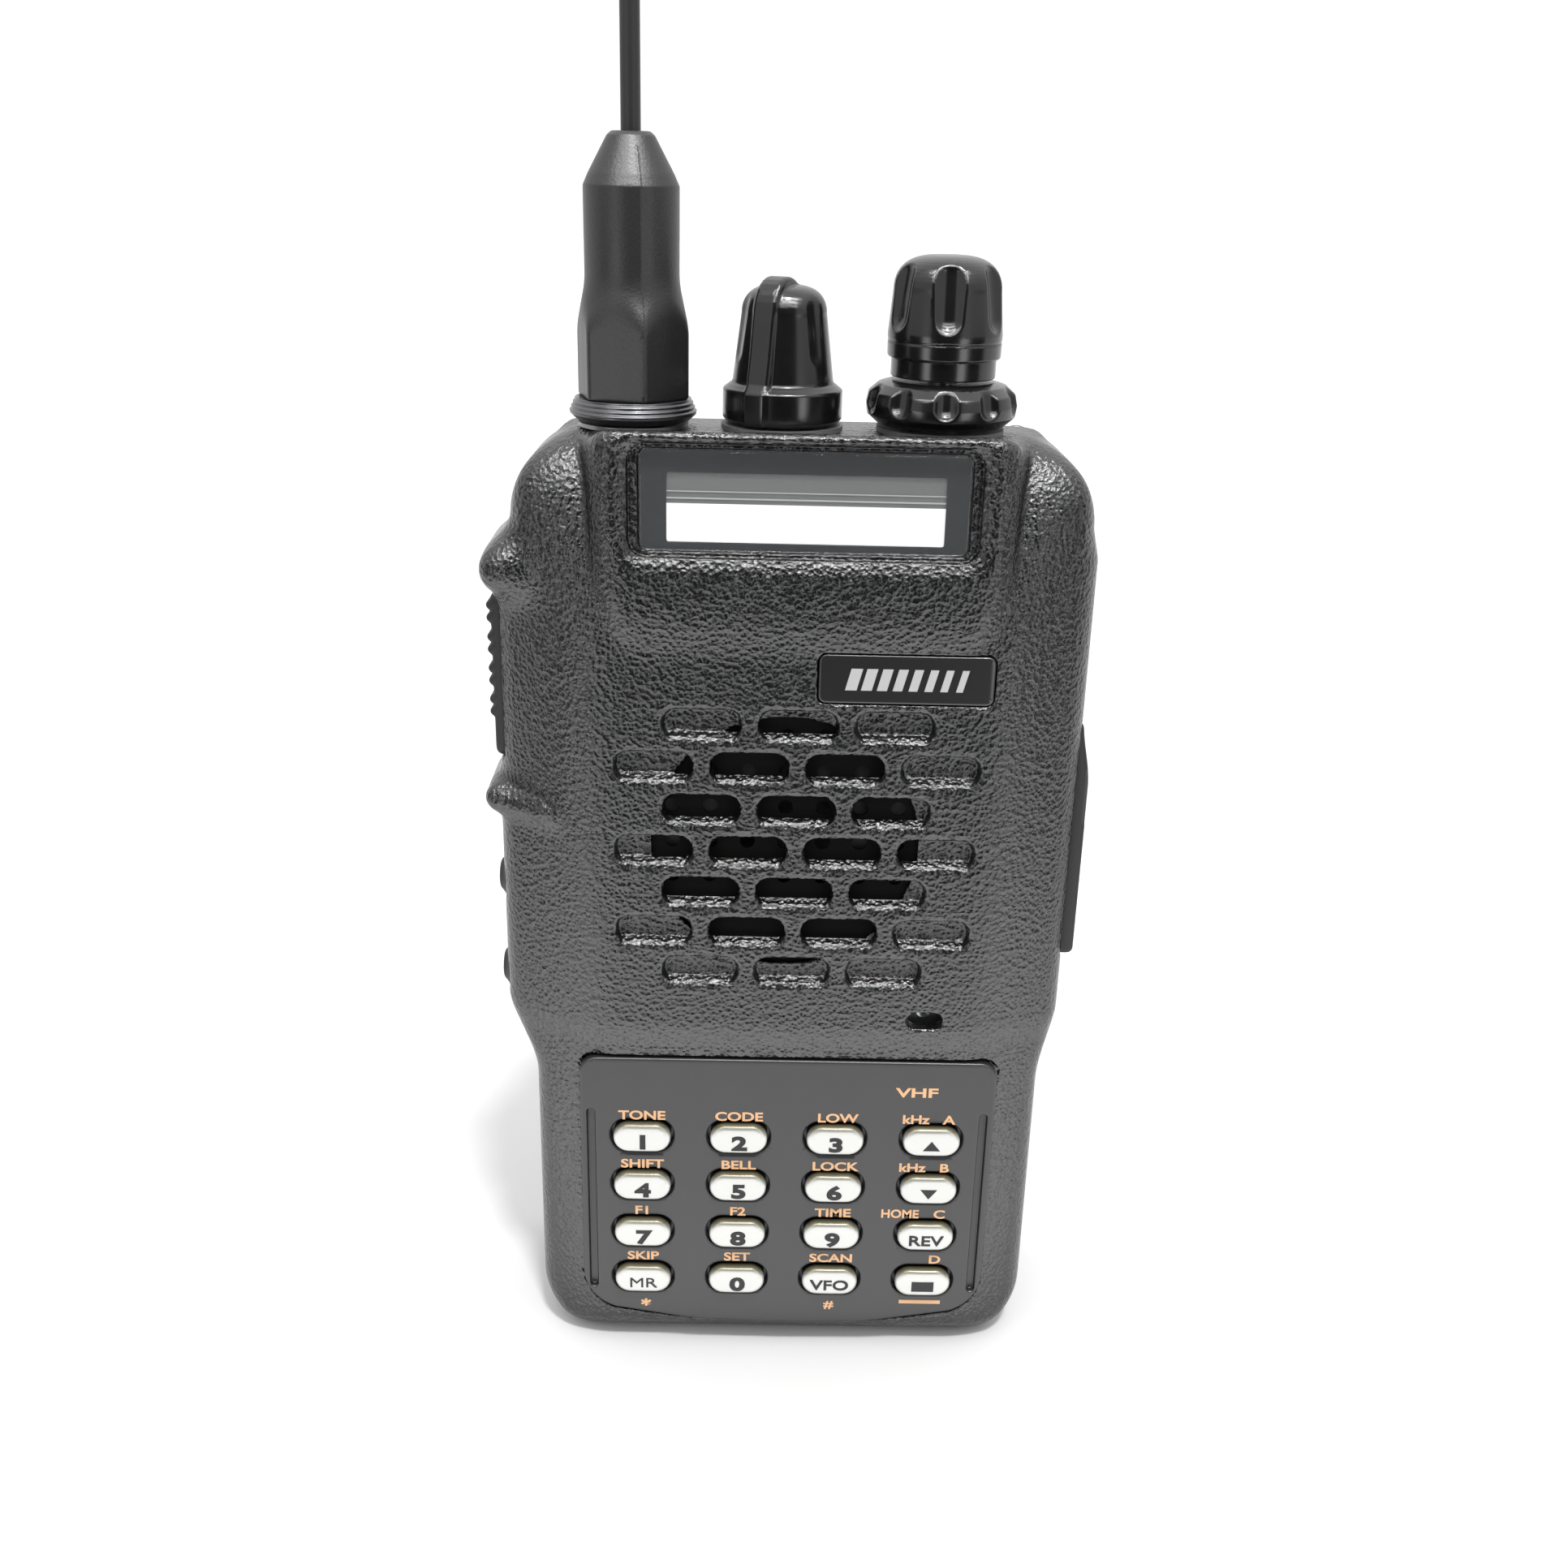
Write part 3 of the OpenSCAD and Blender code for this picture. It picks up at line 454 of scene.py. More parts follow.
PAPER = material("cone_black", (0.015, 0.015, 0.015), 0.85)
CELLS = material("cell_blue", (0.05, 0.16, 0.36), 0.35)
LENS = material("lens_clear", (0.05, 0.055, 0.055), 0.04, gloss=0.5, alpha=0.14)
MASK = material("lens_mask_grey", (0.055, 0.058, 0.06), 0.3, gloss=0.3)
# Painted light: the pale display colour also glows, standing in for the light that falls on the display
LCD_PAINTED_GLOW = material("lcd_pale_painted_glow", (0.72, 0.73, 0.72), 0.3, gloss=0.4, glow=0.9)
# Painted shadow: grey for the upper part of the display, where the brow's shadow falls
LCD_PAINTED_SHADOW = material("lcd_painted_shadow_grey", (0.22, 0.225, 0.225), 0.4, gloss=0.3)
# Painted reflection: light grey for two thin lines where edges are reflected in the display
LCD_PAINTED_REFLECTION = material("lcd_painted_reflection_grey", (0.55, 0.56, 0.56), 0.4, gloss=0.3)


# ---- Camera, light and floor ----

def look(camera, yaw, pitch, roll, at):
    """Turns a camera: yaw right from +Y, pitch down and roll, in degrees, and puts it at a place in mm."""
    y, p, r = (math.radians(a) for a in (yaw, pitch, roll))
    ahead = Vector((math.sin(y) * math.cos(p), math.cos(y) * math.cos(p), -math.sin(p)))
    across = Vector((math.cos(y), -math.sin(y), 0))
    above = across.cross(ahead)
    right = across * math.cos(r) + above * math.sin(r)
    up = -across * math.sin(r) + above * math.cos(r)
    turned_to = Matrix((right, up, -ahead)).transposed().to_4x4()
    camera.matrix_world = Matrix.Translation(Vector(at) * MM) @ turned_to


scene = bpy.context.scene
lens_data = bpy.data.cameras.new("view_camera")
lens_data.sensor_width = 36
lens_data.lens = 36.97
lens_data.clip_start = 0.01
camera = bpy.data.objects.new("view_camera", lens_data)
scene.collection.objects.link(camera)
scene.camera = camera
look(camera, 0.938, 20.937, 1.462, (-3.93, -169.2, 132.34))

scene.view_settings.view_transform = "Standard"
scene.view_settings.look = "None"
scene.view_settings.exposure = 0.0

world = bpy.data.worlds.new("studio_white")
world.use_nodes = True
sky_nodes, sky_links = world.node_tree.nodes, world.node_tree.links
sky_nodes["Background"].inputs["Color"].default_value = (1, 1, 1, 1)
direction = sky_nodes.new("ShaderNodeTexCoord")
split = sky_nodes.new("ShaderNodeSeparateXYZ")
sky_links.new(direction.outputs["Generated"], split.inputs["Vector"])
# The ceiling is brighter than the walls
rise = sky_nodes.new("ShaderNodeMapRange")
rise.inputs["From Min"].default_value = 0.25
rise.inputs["From Max"].default_value = 0.8
rise.inputs["To Min"].default_value = 1.01
rise.inputs["To Max"].default_value = 1.8
sky_links.new(split.outputs["Z"], rise.inputs["Value"])
sky_links.new(rise.outputs["Result"], sky_nodes["Background"].inputs["Strength"])
scene.world = world
sun = bpy.data.lights.new("key_light", "SUN")
sun.energy = 2.3
sun.angle = math.radians(6)
sun_holder = bpy.data.objects.new("key_light", sun)
scene.collection.objects.link(sun_holder)
sun_holder.rotation_euler = Vector((-0.12, 0.38, -0.92)).to_track_quat("-Z", "Y").to_euler()


def card(name, corners, glow):
    """A card in the studio that only reflections see: it darkens or lights what the gloss picks up."""
    mesh = bpy.data.meshes.new(name)
    mesh.from_pydata(corners, [], [tuple(range(len(corners)))])
    made = bpy.data.objects.new(name, mesh)
    scene.collection.objects.link(made)
    paint = bpy.data.materials.new(name)
    paint.use_nodes = True
    shader = paint.node_tree.nodes["Principled BSDF"]
    shader.inputs["Base Color"].default_value = (0, 0, 0, 1)
    shader.inputs["Specular IOR Level"].default_value = 0
    shader.inputs["Emission Color"].default_value = (1, 1, 1, 1)
    shader.inputs["Emission Strength"].default_value = glow
    mesh.materials.append(paint)
    made.visible_camera = False
    made.visible_diffuse = False
    made.visible_shadow = False


def upright_card(name, start, end, low, high, glow):
    """An upright card between two places on the floor, given in metres."""
    card(name, [(*start, low), (*end, low), (*end, high), (*start, high)], glow)


def table_card(name, half, near, far, glow):
    """A card that lies on the table over a range of Y, given in metres."""
    card(name, [(-half, far, 0), (half, far, 0), (half, near, 0), (-half, near, 0)], glow)


def ceiling_strip(name, climb, glow, distance=0.5, half=0.3, width=0.018):
    """A narrow strip across the ceiling in front of the radio, climb degrees above it, in metres."""
    near_y = -distance * math.cos(math.radians(climb))
    near_z = 0.1 + distance * math.sin(math.radians(climb))
    corners = [(-half, near_y, near_z), (half, near_y, near_z)]
    corners += [(x, near_y + width, near_z + width) for x in (half, -half)]
    card(name, corners, glow)


upright_card("front_flag", (-0.073, -0.13), (0.073, -0.13), 0.008, 0.18, 0.003)
table_card("table_bounce", 0.22, -0.016, -0.123, 3.0)
for side, word in ((-1, "left"), (1, "right")):
    upright_card("side_flag_" + word, (side * 0.12, -0.105), (side * 0.155, -0.03), 0.004, 0.12, 0.01)
    upright_card("edge_strip_" + word, (side * 0.075, -0.14), (side * 0.116, -0.122), 0.002, 0.115, 4.0)
ceiling_strip("ceiling_strip_1", 36, 20)
ceiling_strip("ceiling_strip_2", 52, 48)
ceiling_strip("ceiling_strip_3", 72, 60)

bpy.ops.mesh.primitive_plane_add(size=6, location=(0, 0, -0.0002))
floor = bpy.context.object
floor.name = "studio_floor"
floor.data.materials.append(material("floor_white", (0.57, 0.57, 0.57), 0.7, gloss=0.0))


# ---- Front case ----

def side_points(half):
    """One side of the body's outline, from the base up to the shoulder."""
    low = arc(29 - 6.5, 6.5, 6.5, -90, 0, 16)
    waist = [(29 + (half - 29) * (1 - math.cos(math.pi * i / 14)) / 2, 34 + 10 * i / 14) for i in range(15)]
    return low + waist + [(half, 88), (30.7, 95.4)] + arc(21, 98.6, 8.9, 0, 90, 20)


OUTLINE = side_points(30.7) + [(-x, z) for x, z in reversed(side_points(32.2))]
PANEL_LINE = (arc(21.5, 37, 2, 0, 90, 8) + arc(-21.5, 37, 2, 90, 180, 8)
              + arc(-18, 10.2, 5.5, 180, 250, 10) + [(-10, 3.35), (0, 3), (10, 3.35)]
              + arc(18, 10.2, 5.5, 290, 360, 10))


def panel_line(grow):
    """The keypad panel's outline as a field, grown by a margin."""
    return lambda u, v: polygon(PANEL_LINE, u, v) - grow


def body_form(x, y, z):
    """The outside of the case without its brow."""
    # Below the waist, the front is set back
    set_back = 0.5 * (1 - step(z, 40.0, 43.6))
    v = y - set_back
    a = np.abs(x)
    plan = smax(FRONT - v, facet(a, v, (21, FRONT), (24.4, FRONT + 0.9)), 0.7)
    plan = smax(plan, facet(a, v, (24.4, FRONT + 0.9), (28.6, FRONT + 3.4)), 1.3)
    # The cheeks fall away faster beside the talk button
    grip = np.clip(-x - 24.5, 0, 8) / 8 * step(z, 67.5, 70) * (1 - step(z, 88.5, 93))
    plan = plan + 1.0 * grip
    rise = smax(facet(z, -y, (94, -FRONT), (104.5, -FRONT - 3.2)) * -1,
                facet(z, -y, (104.5, -FRONT - 3.2), (DECK_Z, -FRONT - 6.4)) * -1, 2.0)
    base = (-(y - FRONT - 0.5) - (z - 2.6)) * 0.7071
    shape = smax(plan, polygon(OUTLINE, x, z), 2.6)
    shape = smax(shape, rise, 2.4)
    shape = smax(shape, base, 2.0)
    # The guard over the talk button, and the ridge under it
    guard = capsule(x, y, z, (-30.9, -8.0, 93.5), (-31.1, 3, 93.7), 1.75)
    ridge = capsule(x, y, z, (-32.2, -6.5, 68.0), (-32.3, 3, 68.2), 1.2)
    cheek_ridge = capsule(x, y, z, (-32.0, -6.5, 68.0), (-26.5, -9.8, 67.6), 0.6)
    shape = smin(shape, guard, 4.2)
    shape = smin(shape, smin(ridge, cheek_ridge, 1.5), 2.2)
    return shape


def brow_form(x, y, z):
    """The hood round the display, with a sloping underside."""
    front = smax(BROW - y, facet(z, -y, (86.4, -FRONT), (89.8, -FRONT + 1.05)) * -1, 0.8)
    front = smax(front, facet(z, -y, (89.8, -FRONT + 1.05), (96, -BROW)) * -1, 0.8)
    slope = facet(z, -y, (BROW_Z, -BROW - 2.6), (DECK_Z, -BROW - 4.6)) * -1
    top = smax(z - BROW_Z, smin(slope, z - DECK_Z, 0.4), 1.0)
    narrow = 1.6 * (1 - step(z, 86, 95))
    sides = (np.abs(x) - 20.6 + narrow - 0.32 * (y - BROW)) * 0.95
    return smax(smax(front, top, 1.4), sides, 2.4)


def slots(x, z):
    """The grille slots: seven rows of three and four by turns."""
    return union(rounded(x - (i - (count - 1) / 2) * SLOT_STEP_X, z - GRILLE_Z - (3 - row) * SLOT_STEP_Z,
                         8.2, 3.3, 1.5)
                 for row, count in enumerate((3, 4, 3, 4, 3, 4, 3)) for i in range(count))


def case_field(x, y, z):
    """The front case: a hollow shell, open at the back, with all its openings."""
    outside = smin(body_form(x, y, z), brow_form(x, y, z), 0.5)
    shell = np.maximum(outside, -(outside + WALL))
    # A solid ledge behind the display opening, for the lens to sit on
    ledge = slab(rounded(x, z - 100.8, 35, 12.4, 0.5), y, FRONT + 1.4, FRONT + 2.6, 0.3)
    shell = np.minimum(shell, ledge)
    shell = np.maximum(shell, y - CASE_END)
    # Flared display opening, and behind it the moat, lens pocket, window and module pocket
    out = np.maximum(BROW + 0.8 - y, 0)
    opening = slab(rounded(x, z - LCD_Z, 35, 11.3, 1.9) - 1.5 * out, y, BROW - 3, BROW + 0.8, SHARP)
    ceiling = (z - LCD_Z - 5.65 - 0.2 * out) * 0.95
    shell = smax(shell, -np.maximum(opening, ceiling), 1.0)
    for w, h, r, near, far in ((34.8, 11.2, 1.8, 0.5, 1.5), (32.8, 10.2, 1, 0.7, 1.8), (29, 8, 0.6, 1, 2.4),
                               (33.4, 10.6, 0.4, 2.3, 5.7)):
        shell = np.maximum(shell, -slab(rounded(x, z - LCD_Z, w, h, r), y, BROW + near, BROW + far, SHARP))
    # Grille slots: drafted walls, a sloping lower lip and a floor where the speaker isn't behind them
    t = y - FRONT
    rise = (z - GRILLE_Z + SLOT_STEP_Z / 2) % SLOT_STEP_Z - SLOT_STEP_Z / 2
    slot = np.maximum(slots(x, z) + 0.12 * t, (-rise - 1.62 + 0.5 * t) * 0.9)
    slot = smax(slot, t - 1.25, 0.3)
    shell = smax(shell, -slot, 0.6)
    speaker = np.hypot(x - SPEAKER[0], z - SPEAKER[1]) - 14.2
    shell = np.maximum(shell, -slab(speaker, y, FRONT + 1.2, FRONT + 2.8, SHARP))
    recess = slab(rounded(x - PLATE_X, z - PLATE_Z, 18.2, 5.4, 0.9), y, -16, FRONT + 0.5, SHARP)
    shell = smax(shell, -recess, 0.2)
    microphone_port = slab(rounded(x - 14.9, z - 44.5, 3.8, 2, 0.9), y, -16, FRONT + 3, SHARP)
    shell = smax(shell, -microphone_port, 0.3)
    # Seat for the keypad panel and the window behind it
    seat = slab(panel_line(0.26)(x, z), y, -16, PANEL + 1.2, SHARP)
    shell = smax(shell, -seat, 0.3)
    shell = np.maximum(shell, -slab(rounded(x, z - KEYS_Z, 42.5, 27, 1.5), y, -13, -7, SHARP))
    # Holes for the controls on the top
    for hole_x, r in ((ANTENNA_X, 4.0), (SELECTOR_X, 3.6), (VOLUME_X, 4.1)):
        rod = np.maximum(np.hypot(x - hole_x, y - AXIS_Y) - r, 103 - z)
        shell = np.maximum(shell, -rod)
    # Windows for the buttons on the left and for the jacks on the right
    left = np.maximum(x + 28, -x - 40)
    talk = np.maximum(rounded(y - SIDE_Y, z - TALK_Z, 6.4, 18.8, 1.0), left)
    shell = smax(shell, -talk, 0.4)
    for button_z in (MONITOR_Z, LAMP_Z):
        rod = np.maximum(np.hypot(y - SIDE_Y, z - button_z) - 3.2, left)
        shell = smax(shell, -rod, 0.4)
    pocket = np.maximum(rounded(y - JACK_Y, z - JACK_Z, 7.8, 28, 0.8), 29.6 - x)
    shell = smax(shell, -pocket, 0.3)
    jacks = np.maximum(rounded(y + 2.4, z - JACK_Z, 6, 23.6, 0.5), np.maximum(26.7 - x, x - 33))
    return np.maximum(shell, -jacks)


settle(mould("front_case_shell", case_field, (-34.6, -14, 0), (32.4, CASE_END, 108.7), 0.25),
       "radio", CASE, ["front_case"])


# ---- Keypad ----

def panel_field(x, y, z):
    """The keypad panel with its 16 holes and a groove down each side."""
    holes = union(rounded(x - (col - 1.5) * KEY_STEP_X, z - KEYS_Z - (1.5 - row) * KEY_STEP_Z, 7.2, 4.3, 2.0)
                  for row in range(4) for col in range(4))
    plate = slab(panel_line(0)(x, z), y, PANEL, PANEL + 1.2, 0.3)
    plate = smax(plate, -holes, 0.3)
    groove = slab(rounded(np.abs(x) - 22.3, z - 20.2, 0.9, 24.4, 0.4), y, -16, PANEL + 0.75, 0.1)
    return smax(plate, -groove, 0.2)


settle(mould("keypad_plate", panel_field, (-23.6, PANEL, 3), (23.6, PANEL + 1.2, 39.1), 0.13),
       "radio", PANEL_GREY, ["keypad_panel"])

KEY_NAMES = [["1", "2", "3", "up"], ["4", "5", "6", "down"], ["7", "8", "9", "reverse"],
             ["recall", "0", "tuning", "function"]]


def key_field(x, y, z):
    """One key at the origin: a crowned cap, a flange behind the panel and a stem."""
    crown = KEY_TOP + 0.01 * x * x + 0.028 * z * z
    cap = smax(rounded(x, z, 6.5, 3.6, 1.75), np.maximum(crown - y, y - FLANGE - 0.1), 0.55)
    flange = slab(rounded(x, z, 8.1, 5.0, 1.2), y, FLANGE, FLANGE + 0.6, 0.1)
    stem = np.maximum(np.hypot(x, z) - 1.4, np.maximum(FLANGE - y, y - FLANGE - 1.2))
    return np.minimum(np.minimum(cap, flange), stem)


def key_marks(name, x, z):
    """What is printed on a key: digits, arrows or a short generic word."""
    top = KEY_TOP - 0.035
    bottom = KEY_TOP + 0.12
    if name.isdigit():
        return letters("mark_" + name, [(name, x + 0.1, z - 0.28, 1.8, 1.4)], top, bottom, 0.045)
    if name in ("up", "down"):
        s = 1 if name == "up" else -1
        tip = [(x - 0.95, z - 0.3 - 0.6 * s), (x + 0.95, z - 0.3 - 0.6 * s), (x, z - 0.3 + 0.65 * s)]
        return flat_pieces("mark_" + name, [tip if s > 0 else tip[::-1]], top, bottom)
    if name == "function":
        box = [(x - 1.3, z - 1.0), (x + 1.3, z - 1.0), (x + 1.3, z + 0.35), (x - 1.3, z + 0.35)]
        return flat_pieces("mark_" + name, [box], top, bottom)
    word, bold = {"reverse": ("REV", 0.02), "recall": ("MR", 0.0), "tuning": ("VFO", 0.02)}[name]
    return letters("mark_" + name, [(word, x, z - 0.25, 1.4, 1.25)], top, bottom, bold)


key_mesh = mould("key_cap_draft", key_field, (-4.1, KEY_TOP, -2.6), (4.1, FLANGE + 1.2, 2.6), 0.11, 0.004)
for row, names in enumerate(KEY_NAMES):
    for col, key_name in enumerate(names):
        key_x, key_z = (col - 1.5) * KEY_STEP_X, KEYS_Z + (1.5 - row) * KEY_STEP_Z
        cap_mesh = key_mesh.data.copy()
        cap_mesh.transform(Matrix.Translation((key_x * MM, 0, key_z * MM)))
        cap = bpy.data.objects.new("cap_" + key_name, cap_mesh)
        scene.collection.objects.link(cap)
        body_name = "key_" + key_name + "_cap"
        settle(cap, body_name, KEY_SILVER_PAINTED_SHADE, ["key_" + key_name])
        settle(key_marks(key_name, key_x, key_z), body_name, INK)
bpy.data.objects.remove(key_mesh)

# The word over each key, with the X of its middle, and the height of each row of words
LEGENDS = ((31.7, ("TONE", -16.5), ("CODE", -5.5), ("LOW", 5.7), ("A", 18.4)),
           (25.25, ("SHIFT", -16.5), ("BELL", -5.5), ("LOCK", 5.6), ("B", 18.2)),
           (18.9, ("F1", -16.5), ("F2", -5.5), ("TIME", 5.6), ("C", 18.0)),
           (12.55, ("SKIP", -16.5), ("SET", -5.5), ("SCAN", 5.6), ("D", 17.8)))
words = [(text, x, z, 1.15, 1.25) for z, *row_words in LEGENDS for text, x in row_words]
words += [("kHz", 14.6, 31.7, 1.15, 1.2), ("kHz", 14.5, 25.25, 1.15, 1.2), ("HOME", 13.4, 18.9, 1.15, 1.0)]
words += [("*", -16.2, 5.5, 1.6, 1.2), ("#", 5.5, 5.9, 1.15, 1.2), ("VHF", 14.6, 35.2, 1.2, 1.6)]
settle(letters("panel_legends", words, PANEL - 0.02, PANEL + 0.03, 0.026), "radio", ORANGE)
bar = [(13.9, 6.15), (18.8, 6.15), (18.8, 6.65), (13.9, 6.65)]
settle(flat_pieces("panel_bar", [bar], PANEL - 0.02, PANEL + 0.03), "radio", ORANGE)


# ---- Display ----

def lens_field(x, y, z):
    """The clear lens over the display."""
    return slab(rounded(x, z - LCD_Z, 32.6, 10, 0.9), y, BROW + 0.8, BROW + 1.75, 0.3)


def mask_field(x, y, z):
    """The dark frame printed behind the lens, round the view window."""
    flat = np.maximum(rounded(x, z - LCD_Z, 32.4, 9.8, 0.9), -rounded(x - 0.15, z - 100.95, 27.5, 6.9, 0.3))
    return np.maximum(flat, np.maximum(BROW + 1.76 - y, y - BROW - 1.98))


def strip(name, low, high, look_material, depth=1.99):
    """A level strip on the display face, between two heights, that carries painted glow, painted shadow or
    painted reflection.
    """
    outline = [(-13.7, low), (14.0, low), (14.0, high), (-13.7, high)]
    settle(flat_pieces(name, [outline], BROW + depth, BROW + 2.05), "radio", look_material)


settle(mould("display_lens", lens_field, (-16.4, BROW + 0.7, 96.6), (16.4, BROW + 1.9, 106.8), 0.13),
       "radio", LENS, ["lcd_lens"])
settle(mould("display_mask", mask_field, (-16.4, BROW + 1.7, 96.6), (16.4, BROW + 2.1, 106.8), 0.07),
       "radio", MASK)
# Painted light: the lower strip of the display glows pale
strip("display_pale_painted_glow", 97.4, 101.35, LCD_PAINTED_GLOW)
# Painted shadow: the grey upper strip of the display
strip("display_painted_shadow", 101.35, 104.5, LCD_PAINTED_SHADOW)
# Painted reflection: two thin light lines in the display's shadow
strip("display_painted_reflection_low", 101.8, 101.95, LCD_PAINTED_REFLECTION, 1.9)
strip("display_painted_reflection_high", 102.5, 102.6, LCD_PAINTED_REFLECTION, 1.9)


def name_plate_field(x, y, z):
    """The plain plate under the brow."""
    return slab(rounded(x - PLATE_X, z - PLATE_Z, 18, 5.2, 0.8), y, FRONT - 0.1, FRONT + 0.5, 0.26)


settle(mould("badge_plate", name_plate_field, (1.8, FRONT - 0.2, 81.2), (20, FRONT + 0.5, 86.6), 0.09),
       "radio", BADGE, ["name_plate"])
stripes = []
for i in range(8):
    left = 4.6 + i * 1.62
    width = 1.18 - 0.07 * i
    stripes.append([(left, 82.75), (left + width, 82.75), (left + width + 0.6, 85.05), (left + 0.6, 85.05)])
settle(flat_pieces("badge_stripes", stripes, FRONT - 0.14, FRONT - 0.06), "radio", SILVER)


# ---- Controls on the top ----

def crown(r, base, rise):
    """The domed top of a knob, as points of (radius, height) that end on the axis."""
    angles = [math.radians(7.5 * i) for i in range(13)]
    return [(r * max(math.cos(a), 0) ** 0.6, base + rise * math.sin(a) ** 0.85) for a in angles]


def selector_field(x, y, z):
    """The channel selector: a skirt, a fluted cone and a pointer rib over the top."""
    x, y = x - SELECTOR_X, y - AXIS_Y
    r = np.hypot(x, y)
    skirt = polygon([(0, 108.55), (5.5, 108.55), (5.72, 108.8), (5.72, 111.3), (5.3, 111.6), (0, 111.6)],
                    r, z)
    cone = polygon([(0, 111), (4.72, 111.4)] + crown(3.8, 118.7, 2.4), r, z)
    knob = smin(skirt - 0.36, cone - 0.5, 0.5)
    for angle in (44, 100, -72, -128, 160):
        u, v = turn(x, y, angle)
        flute = capsule(u, v, z, (0, -6.0, 115.4), (0, -5.15, 121.2), 1.42)
        knob = smax(knob, -flute, 0.4)
    u, v = turn(x, y, -28)
    crest = [(1.45, 108.6)] + arc(-1.25, 119.3, 2.75, -5, 165, 14)
    crest += [(-4.25, 118.3), (-4.75, 115), (-5.3, 112.2), (-5.85, 111.3), (-5.85, 108.6)]
    rib = smax(polygon(crest, v, z) - 0.35, np.abs(u) - 1.3, 0.55)
    knob = smin(knob, rib, 0.25)
    bore = np.maximum(r - 1.6, np.maximum(108 - z, z - 119))
    return np.maximum(knob, -np.minimum(bore, np.maximum(r - 3.9, z - 109.3)))


settle(mould("selector_grip", selector_field, *round_box(SELECTOR_X, 6.6, 108.1, 122.6), 0.12, 0.004),
       "selector", KNOB, ["selector_knob"])


def volume_field(x, y, z):
    """The volume knob: six flutes, a crowned top and a narrower collar."""
    x, y = x - VOLUME_X, y - AXIS_Y
    r = np.hypot(x, y)
    grip = polygon([(0, 115.2), (5.4, 115.2), (5.45, 117.2)] + crown(5.1, 121.2, 3.25), r, z) - 0.32
    seam = np.hypot(r - 5.85, z - 116.55) - 0.16
    grip = smax(grip, -seam, 0.1)
    for i in range(6):
        u, v = turn(x, y, 60 * i - 3)
        flute = capsule(u, v, z, (0, -6.85, 119.2), (0, -6.2, 123.4), 1.95)
        grip = smax(grip, -flute, 0.25)
    neck = slab(r - 5.3, z, 113, 115.4, 0.2)
    knob = np.minimum(grip, neck)
    return np.maximum(knob, -np.maximum(r - 1.5, z - 119))


settle(mould("volume_grip", volume_field, *round_box(VOLUME_X, 6, 113, 124.9), 0.12, 0.004),
       "volume", KNOB, ["volume_knob"])


def ring_field(x, y, z):
    """The squelch ring, with ten finger notches."""
    x, y = x - VOLUME_X, y - AXIS_Y
    r = np.hypot(x, y)
    ring = polygon([(2, 108.75), (6.35, 108.75), (7.2, 109.5), (7.3, 110.4), (7.1, 111.3), (6.3, 112.0),
                    (5.2, 112.3), (2, 112.3)], r, z) - 0.38
    for i in range(10):
        u, v = turn(x, y, 36 * i - 2)
        notch = capsule(u, v, z, (0, -8.2, 110.8), (0, -7.8, 113), 1.35)
        ring = smax(ring, -notch, 0.25)
    bore = np.minimum(r - 3, np.maximum(r - 4.4, z - 109.2))
    return np.maximum(ring, -bore)


settle(mould("squelch_grip", ring_field, *round_box(VOLUME_X, 7.8, 108.3, 112.8), 0.12, 0.004),
       "squelch", KNOB, ["squelch_ring"])


# ---- Antenna ----

def boot_field(x, y, z):
    """The moulded boot: a hexagonal grip that runs into a round barrel and a cone."""
    x, y = x - ANTENNA_X, y - AXIS_Y
    r = np.hypot(x, y)
    angles = [math.radians(60 * i - 44) for i in range(3)]
    flats = [np.abs(x * math.cos(a) + y * math.sin(a)) - 5.15 for a in angles]
    hexagon = functools.reduce(lambda a, b: smax(a, b, 0.35), flats)
    chamfer = facet(r, z, (5.15, 119.4), (5.95, 117.4)) * -1
    hexagon = smax(hexagon, chamfer, 0.5)
    hexagon = smax(hexagon, 110.3 - z, 0.3)
    barrel = polygon([(0, 111), (4.35, 111), (4.35, 130.3), (3.9, 131.3), (2.05, 134.7), (1.75, 134.95),
                      (0, 134.95)], r, z) - 0.35
    boot = smin(hexagon, barrel, 0.7)
    # Parting line of the mould
    u, v = turn(x, y, 15)
    boot = boot - 0.05 * np.exp(-(u / 0.12) ** 2) * (v < 0) * (z > 111) * (z < 134)
    hole = np.minimum(np.maximum(r - 3.15, z - 113.2), np.maximum(r - 1.05, 118 - z))
    return np.maximum(boot, -np.minimum(hole, r - 0.72))


settle(mould("boot_grip", boot_field, *round_box(ANTENNA_X, 6.1, 110.3, 135.4), 0.14, 0.004),
       "antenna", BOOT, ["antenna_boot"])


def collar_field(x, y, z):
    """The collar under the boot, with fine turned rings."""
    r = np.hypot(x - ANTENNA_X, y - AXIS_Y)
    ripple = 0.07 * np.cos((z - 109.05) * 2 * math.pi / 0.42) * (z > 108.95)
    rim = 6.42 - 0.42 * np.maximum(z - 109.0, 0) - 1.1 * np.maximum(108.75 - z, 0) + ripple
    ring = slab((r - rim) * 0.85, z, 108.1, 110.3, 0.15)
    return np.maximum(ring, 3.15 - r)


settle(mould("collar_ring", collar_field, *round_box(ANTENNA_X, 6.6, 108.1, 110.4), 0.09, 0.004),
       "antenna", COLLAR, ["antenna_collar"])

whip_profile = [(0, 106), (0.6, 106), (0.7, 106.2), (0.7, 118), (0.975, 118), (0.975, 261.8), (1.4, 262),
                (1.5, 262.6), (1.5, 266.3), (1.35, 267.1), (1.0, 267.7), (0.5, 267.95), (0, 268)]
settle(turned("whip_rod", whip_profile, (ANTENNA_X, AXIS_Y), 32), "antenna", WHIP,
       ["antenna_whip"])


# ---- Side buttons and jack cover ----

